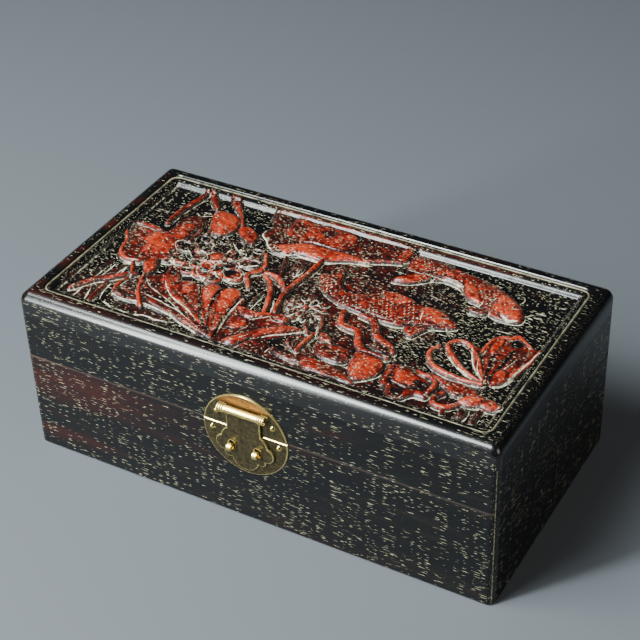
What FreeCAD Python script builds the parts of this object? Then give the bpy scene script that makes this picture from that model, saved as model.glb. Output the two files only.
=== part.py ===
"""Hinged hardwood box for an ink stone and ink sticks, with a carved lid and a brass hasp.

Frame: millimetres, +Z up, +X along the length, front face towards -Y.
The origin is the middle of the underside. The lid turns about the two hinges at the back,
and the hasp flap turns about its own pin on the front of the lid.
"""
import FreeCAD
import Part

import math
import os

V = FreeCAD.Vector
along_x = V(1, 0, 0)
along_y = V(0, 1, 0)
along_z = V(0, 0, 1)

# --- the box ---
box_length = 250.0
box_width = 132.0
box_height = 92.0
seam_height = 55.2          # where the lid meets the base
wall = 9.0                  # thickness of every board round the sides
corner_radius = 3.5         # the four upright corners
top_radius = 5.5            # the round along the lid's top edge
foot_ease = 0.8             # chamfer round the underside
seam_ease = 0.25            # chamfer on both sides of the seam

floor_thickness = 5.0
floor_rebate = 4.0          # how far the floor panel reaches under the boards

lip_thickness = 3.5         # the base's lip, which the lid drops over
lip_height = 3.0
lip_clearance = 0.35

# --- the lid's carved plank ---
top_thickness = 12.0
tongue_depth = 2.0          # raised field on the plank's underside, inside the lid's boards
rim_width = 8.0
rim_corner_radius = 5.0
rim_ease = 0.4              # chamfer along the rim's inner edge
groove_width = 1.2          # the fine groove between the rim and the ovolo
groove_depth = 1.6
ovolo_drop = 1.0            # the ovolo's top below the rim
ovolo_width = 4.0           # from the groove in to the foot of the ovolo
ovolo_steps = 4             # flats that make up its quarter round
field_depth = 3.6           # from the rim down to the ground of the carving
field_corner_radius = 1.0

# --- the carving's main forms, a lotus pond with two carp; finer cuts are not modelled ---
drawn_length = 250.0        # the lid that the outlines below are drawn for, in mm from its middle
drawn_width = 132.0
carving_slope = 1.1         # how far a form's side leans in from its foot to its top
carved_leaves = [           # (rise above the ground, outline)
    (1.2, [(-48, 54), (-49, 46), (-46, 38), (-46, 31), (-38, 24), (-27, 24.5), (-9, 26.5), (6, 33), (12.5, 38),
           (26, 42.5), (27, 49), (25, 54)]),
    (2.4, [(-38, 25.5), (-31, 23.5), (-14, 26.5), (-2, 30.5), (8, 33.5), (-3, 35.5), (-14, 34), (-26, 33)]),
    (1.9, [(-33, 49), (-33, 42), (-26, 38.5), (-8, 39.5), (-4, 46), (-9, 52), (-24, 52)]),
    (1.2, [(-110, 8), (-106, 13.5), (-93, 12.5), (-88, 29), (-82, 30), (-76.5, 16), (-77, -2), (-80, -9.5),
           (-89, -14.5), (-100, -16), (-105, -8)]),
    (2.1, [(-97, 9), (-92, 13), (-86, 24), (-81.5, 23), (-80, 5), (-83, -6.5), (-94, -6)]),
    (0.9, [(-27, -51.5), (-47, -46.5), (-68, -43), (-85, -42.5), (-85, -36), (-76, -24), (-69, -19.5), (-60, -21.5),
           (-40, -18.5), (-28, -20), (-20, -29.5), (-9, -25.5), (-1, -28), (5, -29.5), (-6, -42), (-15, -50.5)]),
    (2.4, [(-17, -47), (-7, -34.5), (0, -29.5), (7, -29), (2, -33.5), (-5, -39), (-12, -48.5)]),
    (2.3, [(40, -32), (41, -41), (46.5, -47.5), (52, -43.5), (54, -37), (52.5, -32.5), (46, -30.5)]),
    (1.3, [(58, -32), (58, -43), (62, -47), (66, -52), (71, -50.5), (75, -45.5), (79.5, -44), (79, -38), (73, -34),
           (66, -31)]),
    (2.2, [(61.5, -34.5), (67, -34), (72.5, -37), (74, -41), (70, -43), (63.5, -41.5)]),
]
carved_pods = [
    (2.5, [(-78.5, 39), (-70, 40.5), (-63.5, 36), (-63, 27), (-69, 22.5), (-75, 27)]),
    (1.7, [(-59.5, 31.5), (-56, 34), (-49.5, 29), (-49, 23.5), (-55, 26)]),
    (2.4, [(95.5, -41.5), (96.5, -37.5), (100, -35), (104, -36), (105.5, -38.5), (102, -41.5)]),
]
carved_carp = [
    (2.1, [(-2.5, 12.5), (5, 4), (15, -1), (28, -3), (44, -4), (58, 0.5), (69.5, 6), (60, 14), (50, 13.5),
           (36, 16.5), (28, 14.5), (20, 9), (12, 8.5), (8, 13), (4, 21), (-0.5, 18)]),
    (2.0, [(29, 49), (45, 49), (65, 45.5), (80, 40), (92.5, 30), (94, 24), (86, 22), (72, 28.5), (60, 36), (50, 37),
           (44, 33.5), (34, 28), (31, 30), (30, 38)]),
]
flower_centre = (-56.0, 4.0)
flower_petals = 9
petal_reach = 15.0
petal_width = 6.5
petal_rise = 1.5
flower_heart_radius = 3.4
flower_heart_rise = 2.4
fan_root = (-25.0, -52.0)   # where the big fan leaf's folds meet
fan_fold_width = 5.0
fan_fold_rise = 1.9
fan_fold_tips = [(-79, -33), (-75, -26), (-65, -23), (-55, -23.5), (-45, -22), (-34, -21)]
ridge_width = 2.0           # stems, ribbons and rolled leaf edges
ridge_rise = 1.6
carved_ridges = [
    [(-107, -48), (-101, -38), (-86, -25)],
    [(-81, -22), (-78, -31.5), (-66.5, -47.5)],
    [(-94, 49), (-95, 40), (-96, 23)],
    [(-27.5, 1.5), (-21, -5), (-17.5, -12), (-13.5, -25)],
    [(-10.2, 23), (-12.5, 2), (-12.3, -10), (-9.5, -21)],
    [(20, -8), (23, -15.5), (32.5, -17.5), (42, -28.5), (52, -28.5)],
    [(29, -5), (37, -9), (41, -15.5), (53, -23.5)],
    [(98, -27), (77, -25.5), (69, -18), (71, -11)],
    [(95, -23.5), (88, -20.5), (75, -8.5), (76, -4), (81, -3), (88.5, -9.5), (95, -18)],
    [(98, -16), (91.5, -4), (91, 4), (96, 10.5), (101, 10.5), (104.5, 3), (102.5, -16)],
    [(104.5, -22), (108, -12), (110, 4)],
]

# --- inside the base ---
stick_bay_length = 56.0     # from the divider to the right-hand board
divider_thickness = 4.0
divider_drop = 8.0          # from the seam down to the divider's top
dado_depth = 1.5            # how far the divider is let into the front and back boards
scoop_radius = 16.0         # finger scoop in the divider's top
scoop_depth = 8.0
pad_thickness = 1.5
pad_gap = 0.5               # between a lining pad and the wood beside it

# --- the hasp's round plate ---
plate_radius = 22.4
plate_thickness = 0.8
plate_drop = 2.9            # the plate's centre is this far below the seam
plate_gap = 0.2             # from the seam to each half of the plate
plate_bevel = 0.3

# --- the hasp's barrel and flap ---
hasp_rise = 11.5            # the hasp pin above the seam
hasp_standoff = 2.05        # the hasp pin in front of the plate
knuckle_radius = 1.9
flap_knuckle_half = 8.95    # half the length of the flap's knuckle, and half the neck's width
barrel_half = 12.5          # half the length of the whole barrel
knuckle_end_gap = 0.2       # between the flap's knuckle and the plate's
ring_count = 3              # turned rings on each of the plate's knuckles
ring_swell = 0.25
hasp_pin_radius = 0.8
pin_clearance = 0.05
flap_thickness = 1.0
flap_set_back = 0.55        # the flap's front face behind the pin's axis
flap_bevel = 0.3
flap_lobes = [              # the cloud outline as discs: (x, height above the seam, radius)
    (5.6, -6.2, 6.8),
    (11.2, -9.9, 4.3),
    (8.5, -14.7, 2.6),
    (0.0, -15.2, 7.35),
]
slot_side_gap = 0.4         # between a lock post and the side of its slot
slot_end_gap = 0.7          # between a lock post and the end of its slot

# --- the lock posts ---
post_spread = 6.85          # each post's middle from the box's middle
post_drop = 10.0            # the posts' eyes below the seam
post_thickness = 3.0
post_head_radius = 2.1
post_ease = 0.5             # chamfer round a post's head
eye_radius = 1.2
eye_proud = 0.3             # from the flap's front face to the eye
stem_height = 3.4
stem_depth = 5.0            # how far a post's stem goes into the board

# --- the round plate's nails ---
nail_head_radius = 1.6
nail_head_height = 1.0
nail_shank_radius = 0.6
nail_length = 6.0
nail_point = 1.2
nail_inset = 4.6            # each nail from the plate's edge
upper_nail_angle = 33.0     # round the plate from level, in degrees
lower_nail_angle = -3.0

# --- the back hinges ---
hinge_inset = 50.0          # each hinge's middle from the box's end
hinge_length = 30.0
leaf_width = 8.0            # how far a leaf reaches over the board's edge
leaf_thickness = 1.2
barrel_radius = 2.1
barrel_gap = 0.3            # between the barrel and the back face
lid_knuckle_half = 5.0      # half the length of the lid leaf's knuckle
leaf_knuckle_gap = 0.2
hinge_pin_radius = 0.9
pin_head_radius = 1.4
pin_head_height = 0.5
stop_angle = 100.6          # the lid's stop ribs meet the back face here
stop_reach = 3.3            # from the pin's axis to a stop rib's tip
stop_thickness = 1.0
screw_spread = 9.5          # each screw from the hinge's middle
screw_inset = 4.4           # each screw from the back face
screw_head_radius = 1.7
screw_shank_radius = 0.8
screw_length = 7.0
screw_point = 1.5
screw_slot_width = 0.4
screw_slot_depth = 0.35
screw_slot_turn = 25.0

# --- modelling values ---
overrun = 1.0               # how far a cutting tool runs past what it cuts
near = 1e-4                 # edges this close to a plane lie in it

# --- places worked out from the sizes above ---
half_length = box_length / 2
half_width = box_width / 2
front_face = -half_width
back_face = half_width
inner_half_length = half_length - wall
inner_half_width = half_width - wall
plank_base = box_height - top_thickness
plate_face = front_face - plate_thickness
plate_centre = seam_height - plate_drop
hasp_axis_y = plate_face - hasp_standoff
hasp_axis_z = seam_height + hasp_rise
flap_front = hasp_axis_y + flap_set_back
eye_y = flap_front - eye_proud - eye_radius
eye_z = seam_height - post_drop
hinge_axis_y = back_face + barrel_gap + barrel_radius
hinge_spread = half_length - hinge_inset
divider_right = inner_half_length - stick_bay_length
divider_left = divider_right - divider_thickness
divider_top = seam_height - divider_drop

nodes = {}


def block(x0, x1, y0, y1, z0, z1):
    """A box between six planes."""
    return Part.makeBox(x1 - x0, y1 - y0, z1 - z0, V(x0, y0, z0))


def slab(half_x, half_y, z0, z1):
    """A box centred on the upright axis, between two heights."""
    return block(-half_x, half_x, -half_y, half_y, z0, z1)


def rod(radius, length, start, direction):
    return Part.makeCylinder(radius, length, start, direction)


def edges_at_height(shape, z):
    """The edges that lie wholly at one height."""
    return [e for e in shape.Edges if abs(e.BoundBox.ZMin - z) < near and abs(e.BoundBox.ZMax - z) < near]


def edges_at_depth(shape, y):
    """The edges that lie wholly in one upright plane across the box."""
    return [e for e in shape.Edges if abs(e.BoundBox.YMin - y) < near and abs(e.BoundBox.YMax - y) < near]


def rounded_slab(half_x, half_y, radius, z0, z1):
    """A slab with rounded upright corners."""
    plain = slab(half_x, half_y, z0, z1)
    upright = [e for e in plain.Edges if e.BoundBox.ZMax - e.BoundBox.ZMin > near]
    return plain.makeFillet(radius, upright)


# ---------------------------------------------------------------- the boards
def board_sector(side):
    """The part of the plan that belongs to one board. Neighbouring boards meet in a mitre."""
    far_x = half_length + wall
    far_y = half_width + wall
    ridge = half_length - half_width
    plan = {
        "front": [(-far_x, -far_y), (far_x, -far_y), (ridge, 0), (-ridge, 0)],
        "back": [(-far_x, far_y), (far_x, far_y), (ridge, 0), (-ridge, 0)],
        "left": [(-far_x, -far_y), (-far_x, far_y), (-ridge, 0)],
        "right": [(far_x, -far_y), (far_x, far_y), (ridge, 0)],
    }[side]
    corners = [V(x, y, -overrun) for x, y in plan]
    outline = Part.makePolygon(corners + corners[:1])
    return Part.Face(outline).extrude(along_z * (box_height + 2 * overrun))


def cut_into_boards(ring, prefix):
    for side in ("front", "back", "left", "right"):
        nodes[f"{prefix}_{side}_board"] = ring.common(board_sector(side)).removeSplitter()


def inner_well(z0, z1):
    return slab(inner_half_length, inner_half_width, z0, z1)


def lip_block(clearance):
    """The lip's outer shape. It stops short of the back board, where the hinges are."""
    half_x = inner_half_length + lip_thickness + clearance
    front = -inner_half_width - lip_thickness - clearance
    back = inner_half_width - lip_clearance + clearance
    return block(-half_x, half_x, front, back, seam_height, seam_height + lip_height + clearance)


def base_floor():
    """The floor panel, let into a rebate under the boards."""
    return slab(inner_half_length + floor_rebate, inner_half_width + floor_rebate, 0, floor_thickness)


def base_ring():
    ring = rounded_slab(half_length, half_width, corner_radius, 0, seam_height)
    ring = ring.makeChamfer(foot_ease, edges_at_height(ring, 0))
    ring = ring.makeChamfer(seam_ease, edges_at_height(ring, seam_height))
    ring = ring.fuse(lip_block(0)).cut(inner_well(-overrun, box_height))
    ring = ring.cut(base_floor()).cut(divider_blank())
    for middle in (-hinge_spread, hinge_spread):
        ring = ring.cut(leaf_plate(middle, -1)).cut(screw_holes(middle, -1))
    ring = ring.cut(nail_holes(lower_nail_angle))
    return ring.cut(lock_post(-1)).cut(lock_post(1))


def lid_ring():
    ring = rounded_slab(half_length, half_width, corner_radius, seam_height, plank_base)
    ring = ring.makeChamfer(seam_ease, edges_at_height(ring, seam_height))
    ring = ring.cut(inner_well(0, box_height)).cut(lip_block(lip_clearance))
    for middle in (-hinge_spread, hinge_spread):
        ring = ring.cut(leaf_plate(middle, 1)).cut(screw_holes(middle, 1))
    return ring.cut(nail_holes(upper_nail_angle))


# ---------------------------------------------------------------- inside the base
def divider_blank():
    """The divider before its scoop, housed in the front and back boards."""
    half_y = inner_half_width + dado_depth
    return block(divider_left, divider_right, -half_y, half_y, floor_thickness, divider_top)


def divider():
    centre = V(divider_left - overrun, 0, divider_top - scoop_depth + scoop_radius)
    return divider_blank().cut(rod(scoop_radius, divider_thickness + 2 * overrun, centre, along_x))


def lining_pad(x0, x1):
    half_y = inner_half_width - pad_gap
    pad_top = floor_thickness + pad_thickness
    return block(x0 + pad_gap, x1 - pad_gap, -half_y, half_y, floor_thickness, pad_top)


# ---------------------------------------------------------------- the lid's plank
def inset_slab(inset, radius, depth):
    """A rounded slab that reaches down from above the lid, inset from the lid's edges."""
    z0 = box_height - depth
    return rounded_slab(half_length - inset, half_width - inset, radius, z0, box_height + overrun)


def rounded_outline(half_x, half_y, radius, z):
    """A closed wire round a rectangle with rounded corners, at one height."""
    top = rounded_slab(half_x, half_y, radius, z - overrun, z)
    return max(top.Faces, key=lambda face: face.CenterOfMass.z).OuterWire


def sunk_field():
    """The hollow over the ground of the carving. Its sides follow the ovolo, a falling quarter round."""
    start = rim_width + groove_width
    start_radius = max(rim_corner_radius - groove_width, field_corner_radius)
    levels = []
    for step in range(ovolo_steps + 1):
        turn = math.pi / 2 * step / ovolo_steps
        inset = start + ovolo_width * math.sin(turn)
        depth = ovolo_drop + (field_depth - ovolo_drop) * (1 - math.cos(turn))
        radius = start_radius + (field_corner_radius - start_radius) * math.sin(turn)
        levels.append(rounded_outline(half_length - inset, half_width - inset, radius, box_height - depth))
    return Part.makeLoft(levels, True, True)


def mitre(before, corner, after):
    """How far a corner of a line moves, when both its sides move 1 mm to their left."""
    normals = []
    for (ax, ay), (bx, by) in ((before, corner), (corner, after)):
        length = math.hypot(bx - ax, by - ay)
        normals.append(((ay - by) / length, (bx - ax) / length))
    (mx, my), (nx, ny) = normals
    reach = 1 / (1 + mx * nx + my * ny)
    return (mx + nx) * reach, (my + ny) * reach


def drawn_in(outline, distance):
    """An outline moved inwards, so that each of its sides stays parallel to itself."""
    ring = outline[-1:] + outline + outline[:1]
    turn = math.copysign(distance, sum(x0 * y1 - x1 * y0 for (x0, y0), (x1, y1) in zip(ring, ring[1:])))
    moved = []
    for before, corner, after in zip(ring, ring[1:], ring[2:]):
        left = mitre(before, corner, after)
        moved.append((corner[0] + left[0] * turn, corner[1] + left[1] * turn))
    return moved


def carved_form(outline, rise, smooth=False):
    """One form standing on the carving's ground, with sloped sides and a flat top."""
    ground = box_height - field_depth
    outline = [(x * box_length / drawn_length, y * box_width / drawn_width) for x, y in outline]
    foot = [V(x, y, ground - overrun) for x, y in outline]
    top = [V(x, y, ground + rise) for x, y in drawn_in(outline, carving_slope)]
    foot.append(foot[0])
    top.append(top[0])
    if smooth:
        wires = []
        for corners in (foot, top):
            curve = Part.BSplineCurve()
            curve.interpolate(Points=corners[:-1], PeriodicFlag=True)
            wires.append(Part.Wire(curve.toShape()))
        return Part.makeLoft(wires, True, True)
    sides = [Part.makePolygon([foot[i], foot[i + 1], top[i + 1], top[i], foot[i]]) for i in range(len(outline))]
    return Part.Solid(Part.Shell([Part.Face(side) for side in sides + [Part.makePolygon(foot), Part.makePolygon(top)]]))


def lens(root, tip, width):
    """The outline of a petal or fold, from its root to its tip."""
    (rx, ry), (tx, ty) = root, tip
    across_x, across_y = [part * width / 2 / math.hypot(tx - rx, ty - ry) for part in (ry - ty, tx - rx)]
    waist_x, waist_y = rx + (tx - rx) * 0.7, ry + (ty - ry) * 0.7
    return [root, (waist_x + across_x, waist_y + across_y), tip, (waist_x - across_x, waist_y - across_y)]


def ridge(path):
    """The outline of a stem or ribbon along a path."""
    (ax, ay), (bx, by) = path[0], path[1]
    (cx, cy), (dx, dy) = path[-2], path[-1]
    line = [(2 * ax - bx, 2 * ay - by)] + path + [(2 * dx - cx, 2 * dy - cy)]
    half = (ridge_width + carving_slope) / 2
    left, right = [], []
    for before, corner, after in zip(line, line[1:], line[2:]):
        across = mitre(before, corner, after)
        left.append((corner[0] + across[0] * half, corner[1] + across[1] * half))
        right.append((corner[0] - across[0] * half, corner[1] - across[1] * half))
    return left + right[::-1]


def carving():
    """Leaves, seed pods, two carp, a lotus flower, a fan leaf's folds, stems and rolled edges."""
    forms = [carved_form(outline, rise) for rise, outline in carved_leaves]
    forms += [carved_form(outline, rise, smooth=True) for rise, outline in carved_pods + carved_carp]
    x, y = flower_centre
    for index in range(flower_petals):
        turn = 2 * math.pi * index / flower_petals
        way_x, way_y = math.cos(turn), math.sin(turn)
        root = (x + flower_heart_radius * 0.6 * way_x, y + flower_heart_radius * 0.6 * way_y)
        tip = (x + petal_reach * way_x, y + petal_reach * way_y)
        forms.append(carved_form(lens(root, tip, petal_width), petal_rise))
    corners = [2 * math.pi * (index + 0.25) / 8 for index in range(8)]
    heart = [(x + flower_heart_radius * math.cos(turn), y + flower_heart_radius * math.sin(turn)) for turn in corners]
    forms.append(carved_form(heart, flower_heart_rise))
    for tip in fan_fold_tips:
        start = [root + (end - root) * 0.22 for root, end in zip(fan_root, tip)]
        forms.append(carved_form(lens(start, tip, fan_fold_width), fan_fold_rise))
    forms += [carved_form(ridge(path), ridge_rise) for path in carved_ridges]
    return forms


def lid_plank():
    """The plank with its rounded edge, flat rim, groove, ovolo, sunk field and the carving's main forms."""
    plank = rounded_slab(half_length, half_width, corner_radius, plank_base, box_height)
    top_edge = edges_at_height(plank, box_height)
    plank = plank.makeFillet(min(top_radius, top_thickness - overrun), top_edge)

    plank = plank.cut(inset_slab(rim_width, rim_corner_radius, ovolo_drop))
    inside_x = half_length - rim_width + near
    flat_edges = edges_at_height(plank, box_height)
    rim_edges = [e for e in flat_edges if e.BoundBox.XMax < inside_x and e.BoundBox.XMin > -inside_x]
    plank = plank.makeChamfer(min(rim_ease, ovolo_drop / 2), rim_edges)
    inside_groove = inset_slab(rim_width + groove_width, max(rim_corner_radius - groove_width, near), groove_depth)
    plank = plank.cut(inset_slab(rim_width, rim_corner_radius, groove_depth).cut(inside_groove))
    plank = plank.cut(sunk_field()).fuse(carving())
    return plank.fuse(inner_well(plank_base - tongue_depth, plank_base)).removeSplitter()


# ---------------------------------------------------------------- the hasp
def half_plate(up):
    """One half of the round plate, bevelled all round its front. up is 1 on the lid, -1 on the base."""
    disc = rod(plate_radius, plate_thickness, V(0, front_face, plate_centre), -along_y)
    reach = 2 * plate_radius
    z0 = seam_height + plate_gap if up > 0 else seam_height - reach
    z1 = seam_height + reach if up > 0 else seam_height - plate_gap
    half = disc.common(block(-reach, reach, plate_face - overrun, front_face + overrun, z0, z1))
    return half.makeChamfer(plate_bevel, edges_at_depth(half, plate_face))


def ringed_knuckle(x0, x1):
    """A knuckle of the round plate, turned as a row of rings."""
    pitch = (x1 - x0) / ring_count
    low = knuckle_radius - ring_swell
    high = knuckle_radius + ring_swell
    profile = [V(x0, 0, 0)]
    for index in range(ring_count):
        start = x0 + index * pitch
        profile += [V(start, low, 0), V(start + pitch / 3, high, 0), V(start + pitch * 2 / 3, high, 0)]
    profile += [V(x1, low, 0), V(x1, 0, 0)]
    knuckle = Part.Face(Part.makePolygon(profile + profile[:1])).revolve(V(0, 0, 0), along_x, 360)
    knuckle.translate(V(0, hasp_axis_y, hasp_axis_z))
    return knuckle


def hasp_bore():
    reach = barrel_half + overrun
    return rod(hasp_pin_radius + pin_clearance, 2 * reach, V(-reach, hasp_axis_y, hasp_axis_z), along_x)


def hasp_pin():
    return rod(hasp_pin_radius, 2 * barrel_half, V(-barrel_half, hasp_axis_y, hasp_axis_z), along_x)


def hasp_upper_plate():
    plate = half_plate(1).cut(nail_holes(upper_nail_angle))
    inner = flap_knuckle_half + knuckle_end_gap
    foot_low = hasp_axis_z - knuckle_radius / 2
    for x0, x1 in ((-barrel_half, -inner), (inner, barrel_half)):
        foot = block(x0, x1, hasp_axis_y, plate_face, foot_low, foot_low + knuckle_radius)
        plate = plate.fuse(ringed_knuckle(x0, x1)).fuse(foot)
    return plate.cut(hasp_bore()).removeSplitter()


def hasp_lower_plate():
    plate = half_plate(-1).cut(nail_holes(lower_nail_angle))
    return plate.cut(lock_post(-1)).cut(lock_post(1)).removeSplitter()


def bevelled_disc(x, rise, radius):
    disc = rod(radius, flap_thickness, V(x, flap_front, seam_height + rise), along_y)
    return disc.makeChamfer(flap_bevel, edges_at_depth(disc, flap_front))


def flap_slot(side):
    """A slot with round ends, which lets a lock post through the flap."""
    half_x = post_thickness / 2 + slot_side_gap
    straight = max(post_head_radius + slot_end_gap - half_x, near)
    middle = side * post_spread
    depth = flap_thickness + 2 * overrun
    y0 = flap_front - overrun
    slot = block(middle - half_x, middle + half_x, y0, y0 + depth, eye_z - straight, eye_z + straight)
    for end in (-straight, straight):
        slot = slot.fuse(rod(half_x, depth, V(middle, y0, eye_z + end), along_y))
    return slot


def hasp_flap():
    """The flap: a neck from the pin and a cloud of bevelled lobes, with a slot for each lock post."""
    flap_back = flap_front + flap_thickness
    neck_end = seam_height + flap_lobes[0][1]
    neck = block(-flap_knuckle_half, flap_knuckle_half, flap_front, flap_back, neck_end, hasp_axis_z)
    sides = [e for e in edges_at_depth(neck, flap_front) if e.BoundBox.ZMax - e.BoundBox.ZMin > near]
    flap = neck.makeChamfer(flap_bevel, sides)
    for x, rise, radius in flap_lobes:
        flap = flap.fuse(bevelled_disc(x, rise, radius))
        if x > 0:
            flap = flap.fuse(bevelled_disc(-x, rise, radius))
    knuckle_start = V(-flap_knuckle_half, hasp_axis_y, hasp_axis_z)
    flap = flap.fuse(rod(knuckle_radius, 2 * flap_knuckle_half, knuckle_start, along_x))
    return flap.cut(hasp_bore()).cut(flap_slot(-1)).cut(flap_slot(1)).removeSplitter()


def lock_post(side):
    """A lug with an eye for the lock's bar. Its stem runs through the plate into the board."""
    x0 = side * post_spread - post_thickness / 2
    head = rod(post_head_radius, post_thickness, V(x0, eye_y, eye_z), along_x)
    rims = [e for e in head.Edges if e.BoundBox.XMax - e.BoundBox.XMin < near]
    head = head.makeChamfer(min(post_ease, post_thickness / 3), rims)
    low = eye_z - stem_height / 2
    stem = block(x0, x0 + post_thickness, eye_y, front_face + stem_depth, low, low + stem_height)
    eye = rod(eye_radius, post_thickness + 2 * overrun, V(x0 - overrun, eye_y, eye_z), along_x)
    return head.fuse(stem).cut(eye).removeSplitter()


def nail_hole(x, z):
    """The plain hole drilled for a nail."""
    return rod(nail_shank_radius + pin_clearance, nail_length, V(x, plate_face, z), along_y)


def dome_nail(x, z):
    """A pointed nail whose head is the cap of a ball."""
    ball_radius = (nail_head_radius**2 + nail_head_height**2) / (2 * nail_head_height)
    ball = Part.makeSphere(ball_radius, V(x, plate_face - nail_head_height + ball_radius, z))
    in_front = rod(2 * ball_radius, 2 * ball_radius, V(x, plate_face, z), -along_y)
    straight = nail_length - nail_point
    shank = rod(nail_shank_radius, straight, V(x, plate_face, z), along_y)
    point = Part.makeCone(nail_shank_radius, 0, nail_point, V(x, plate_face + straight, z), along_y)
    return ball.common(in_front).fuse(shank).fuse(point).removeSplitter()


def nail_places(angle):
    reach = plate_radius - nail_inset
    turn = math.radians(angle)
    return [(side * reach * math.cos(turn), plate_centre + reach * math.sin(turn)) for side in (-1, 1)]


def nail_pair(angle):
    return Part.makeCompound([dome_nail(x, z) for x, z in nail_places(angle)])


def nail_holes(angle):
    return Part.makeCompound([nail_hole(x, z) for x, z in nail_places(angle)])


# ---------------------------------------------------------------- the back hinges
def leaf_span(up):
    """The heights of a leaf's two faces. up is 1 on the lid, -1 on the base."""
    return sorted((seam_height, seam_height + up * leaf_thickness))


def leaf_plate(middle, up):
    """A leaf's flat plate, let into the board's edge."""
    z0, z1 = leaf_span(up)
    half = hinge_length / 2
    return block(middle - half, middle + half, back_face - leaf_width, back_face, z0, z1)


def hinge_knuckle(x0, x1, up):
    """One knuckle and the neck that joins it to its leaf."""
    z0, z1 = leaf_span(up)
    neck = block(x0, x1, back_face - leaf_width, hinge_axis_y, z0, z1)
    return neck.fuse(rod(barrel_radius, x1 - x0, V(x0, hinge_axis_y, seam_height), along_x))


def stop_rib(middle):
    """A rib along the lid's knuckle. At stop_angle its leading corner meets the back face."""
    corner_reach = math.hypot(stop_reach, stop_thickness / 2)
    corner_lead = math.degrees(math.atan2(stop_thickness / 2, stop_reach))
    axis_distance = barrel_gap + barrel_radius
    contact = 180 - math.degrees(math.acos(axis_distance / corner_reach)) - corner_lead
    x0 = middle - lid_knuckle_half
    x1 = middle + lid_knuckle_half
    z0 = seam_height - stop_thickness / 2
    rib = block(x0, x1, hinge_axis_y, hinge_axis_y + stop_reach, z0, z0 + stop_thickness)
    rib.rotate(V(middle, hinge_axis_y, seam_height), along_x, stop_angle - contact)
    return rib


def screw_hole(place, up):
    """The countersink through the leaf and the plain hole drilled in the board under it."""
    way = along_z * up
    radius = screw_shank_radius + pin_clearance
    sink = Part.makeCone(screw_head_radius + pin_clearance, radius, leaf_thickness, place, way)
    return sink.fuse(rod(radius, screw_length, place, way))


def screw(place, up):
    """A pointed screw with a slot across its countersunk head."""
    way = along_z * up
    straight = screw_length - screw_point
    body = Part.makeCone(screw_head_radius, screw_shank_radius, leaf_thickness, place, way)
    body = body.fuse(rod(screw_shank_radius, straight, place, way))
    body = body.fuse(Part.makeCone(screw_shank_radius, 0, screw_point, place + way * straight, way))
    reach = screw_head_radius + overrun
    half = screw_slot_width / 2
    slot = block(
        place.x - reach,
        place.x + reach,
        place.y - half,
        place.y + half,
        place.z - screw_slot_depth,
        place.z + screw_slot_depth,
    )
    slot.rotate(place, along_z, screw_slot_turn * up)
    return body.cut(slot).removeSplitter()


def screw_places(middle):
    return [V(middle + side * screw_spread, back_face - screw_inset, seam_height) for side in (-1, 1)]


def screw_pair(middle, up):
    return Part.makeCompound([screw(place, up) for place in screw_places(middle)])


def screw_holes(middle, up):
    return Part.makeCompound([screw_hole(place, up) for place in screw_places(middle)])


def hinge_leaf(middle, up):
    half = hinge_length / 2
    inner = lid_knuckle_half + leaf_knuckle_gap
    spans = [(-lid_knuckle_half, lid_knuckle_half)] if up > 0 else [(-half, -inner), (inner, half)]
    leaf = leaf_plate(middle, up)
    for x0, x1 in spans:
        leaf = leaf.fuse(hinge_knuckle(middle + x0, middle + x1, up))
    if up > 0:
        leaf = leaf.fuse(stop_rib(middle))
    reach = half + overrun
    bore_start = V(middle - reach, hinge_axis_y, seam_height)
    bore = rod(hinge_pin_radius + pin_clearance, 2 * reach, bore_start, along_x)
    return leaf.cut(bore).cut(screw_holes(middle, up)).removeSplitter()


def hinge_pin(middle):
    """A pin with a low head at each end."""
    half = hinge_length / 2
    pin = rod(hinge_pin_radius, hinge_length, V(middle - half, hinge_axis_y, seam_height), along_x)
    for side in (-1, 1):
        seat = middle + side * half
        head = rod(pin_head_radius, pin_head_height, V(seat, hinge_axis_y, seam_height), along_x * side)
        rim = [e for e in head.Edges if abs(e.CenterOfMass.x - seat) > pin_head_height - near]
        pin = pin.fuse(head.makeChamfer(pin_head_height / 2, rim))
    return pin.removeSplitter()


# ---------------------------------------------------------------- build and write
def build_box():
    cut_into_boards(base_ring(), "base")
    cut_into_boards(lid_ring(), "lid")
    nodes["base_floor_panel"] = base_floor()
    nodes["bay_divider"] = divider()
    nodes["stone_bay_lining"] = lining_pad(-inner_half_length, divider_left)
    nodes["stick_bay_lining"] = lining_pad(divider_right, inner_half_length)
    nodes["lid_carved_plank"] = lid_plank()


def build_hasp():
    nodes["hasp_upper_plate"] = hasp_upper_plate()
    nodes["hasp_lower_plate"] = hasp_lower_plate()
    nodes["hasp_flap"] = hasp_flap()
    nodes["hasp_pin"] = hasp_pin()
    nodes["lock_post_left"] = lock_post(-1)
    nodes["lock_post_right"] = lock_post(1)
    nodes["upper_plate_nails"] = nail_pair(upper_nail_angle)
    nodes["lower_plate_nails"] = nail_pair(lower_nail_angle)


def build_hinges():
    for name, middle in (("left", -hinge_spread), ("right", hinge_spread)):
        nodes[f"{name}_hinge_base_leaf"] = hinge_leaf(middle, -1)
        nodes[f"{name}_hinge_lid_leaf"] = hinge_leaf(middle, 1)
        nodes[f"{name}_hinge_pin"] = hinge_pin(middle)
        nodes[f"{name}_hinge_base_screws"] = screw_pair(middle, -1)
        nodes[f"{name}_hinge_lid_screws"] = screw_pair(middle, 1)


build_box()
build_hasp()
build_hinges()
os.makedirs("parts", exist_ok=True)
for name, shape in nodes.items():
    assert shape.isValid(), f"{name} is not valid"
    shape.exportStep(f"parts/{name}.step")
    print(f"{name}: {len(shape.Solids)} solid(s), {shape.Volume:.1f} mm3")
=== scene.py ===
import math
from functools import partial

import bpy
import numpy as np
from mathutils import Matrix, Vector
from mathutils.bvhtree import BVHTree


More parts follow.
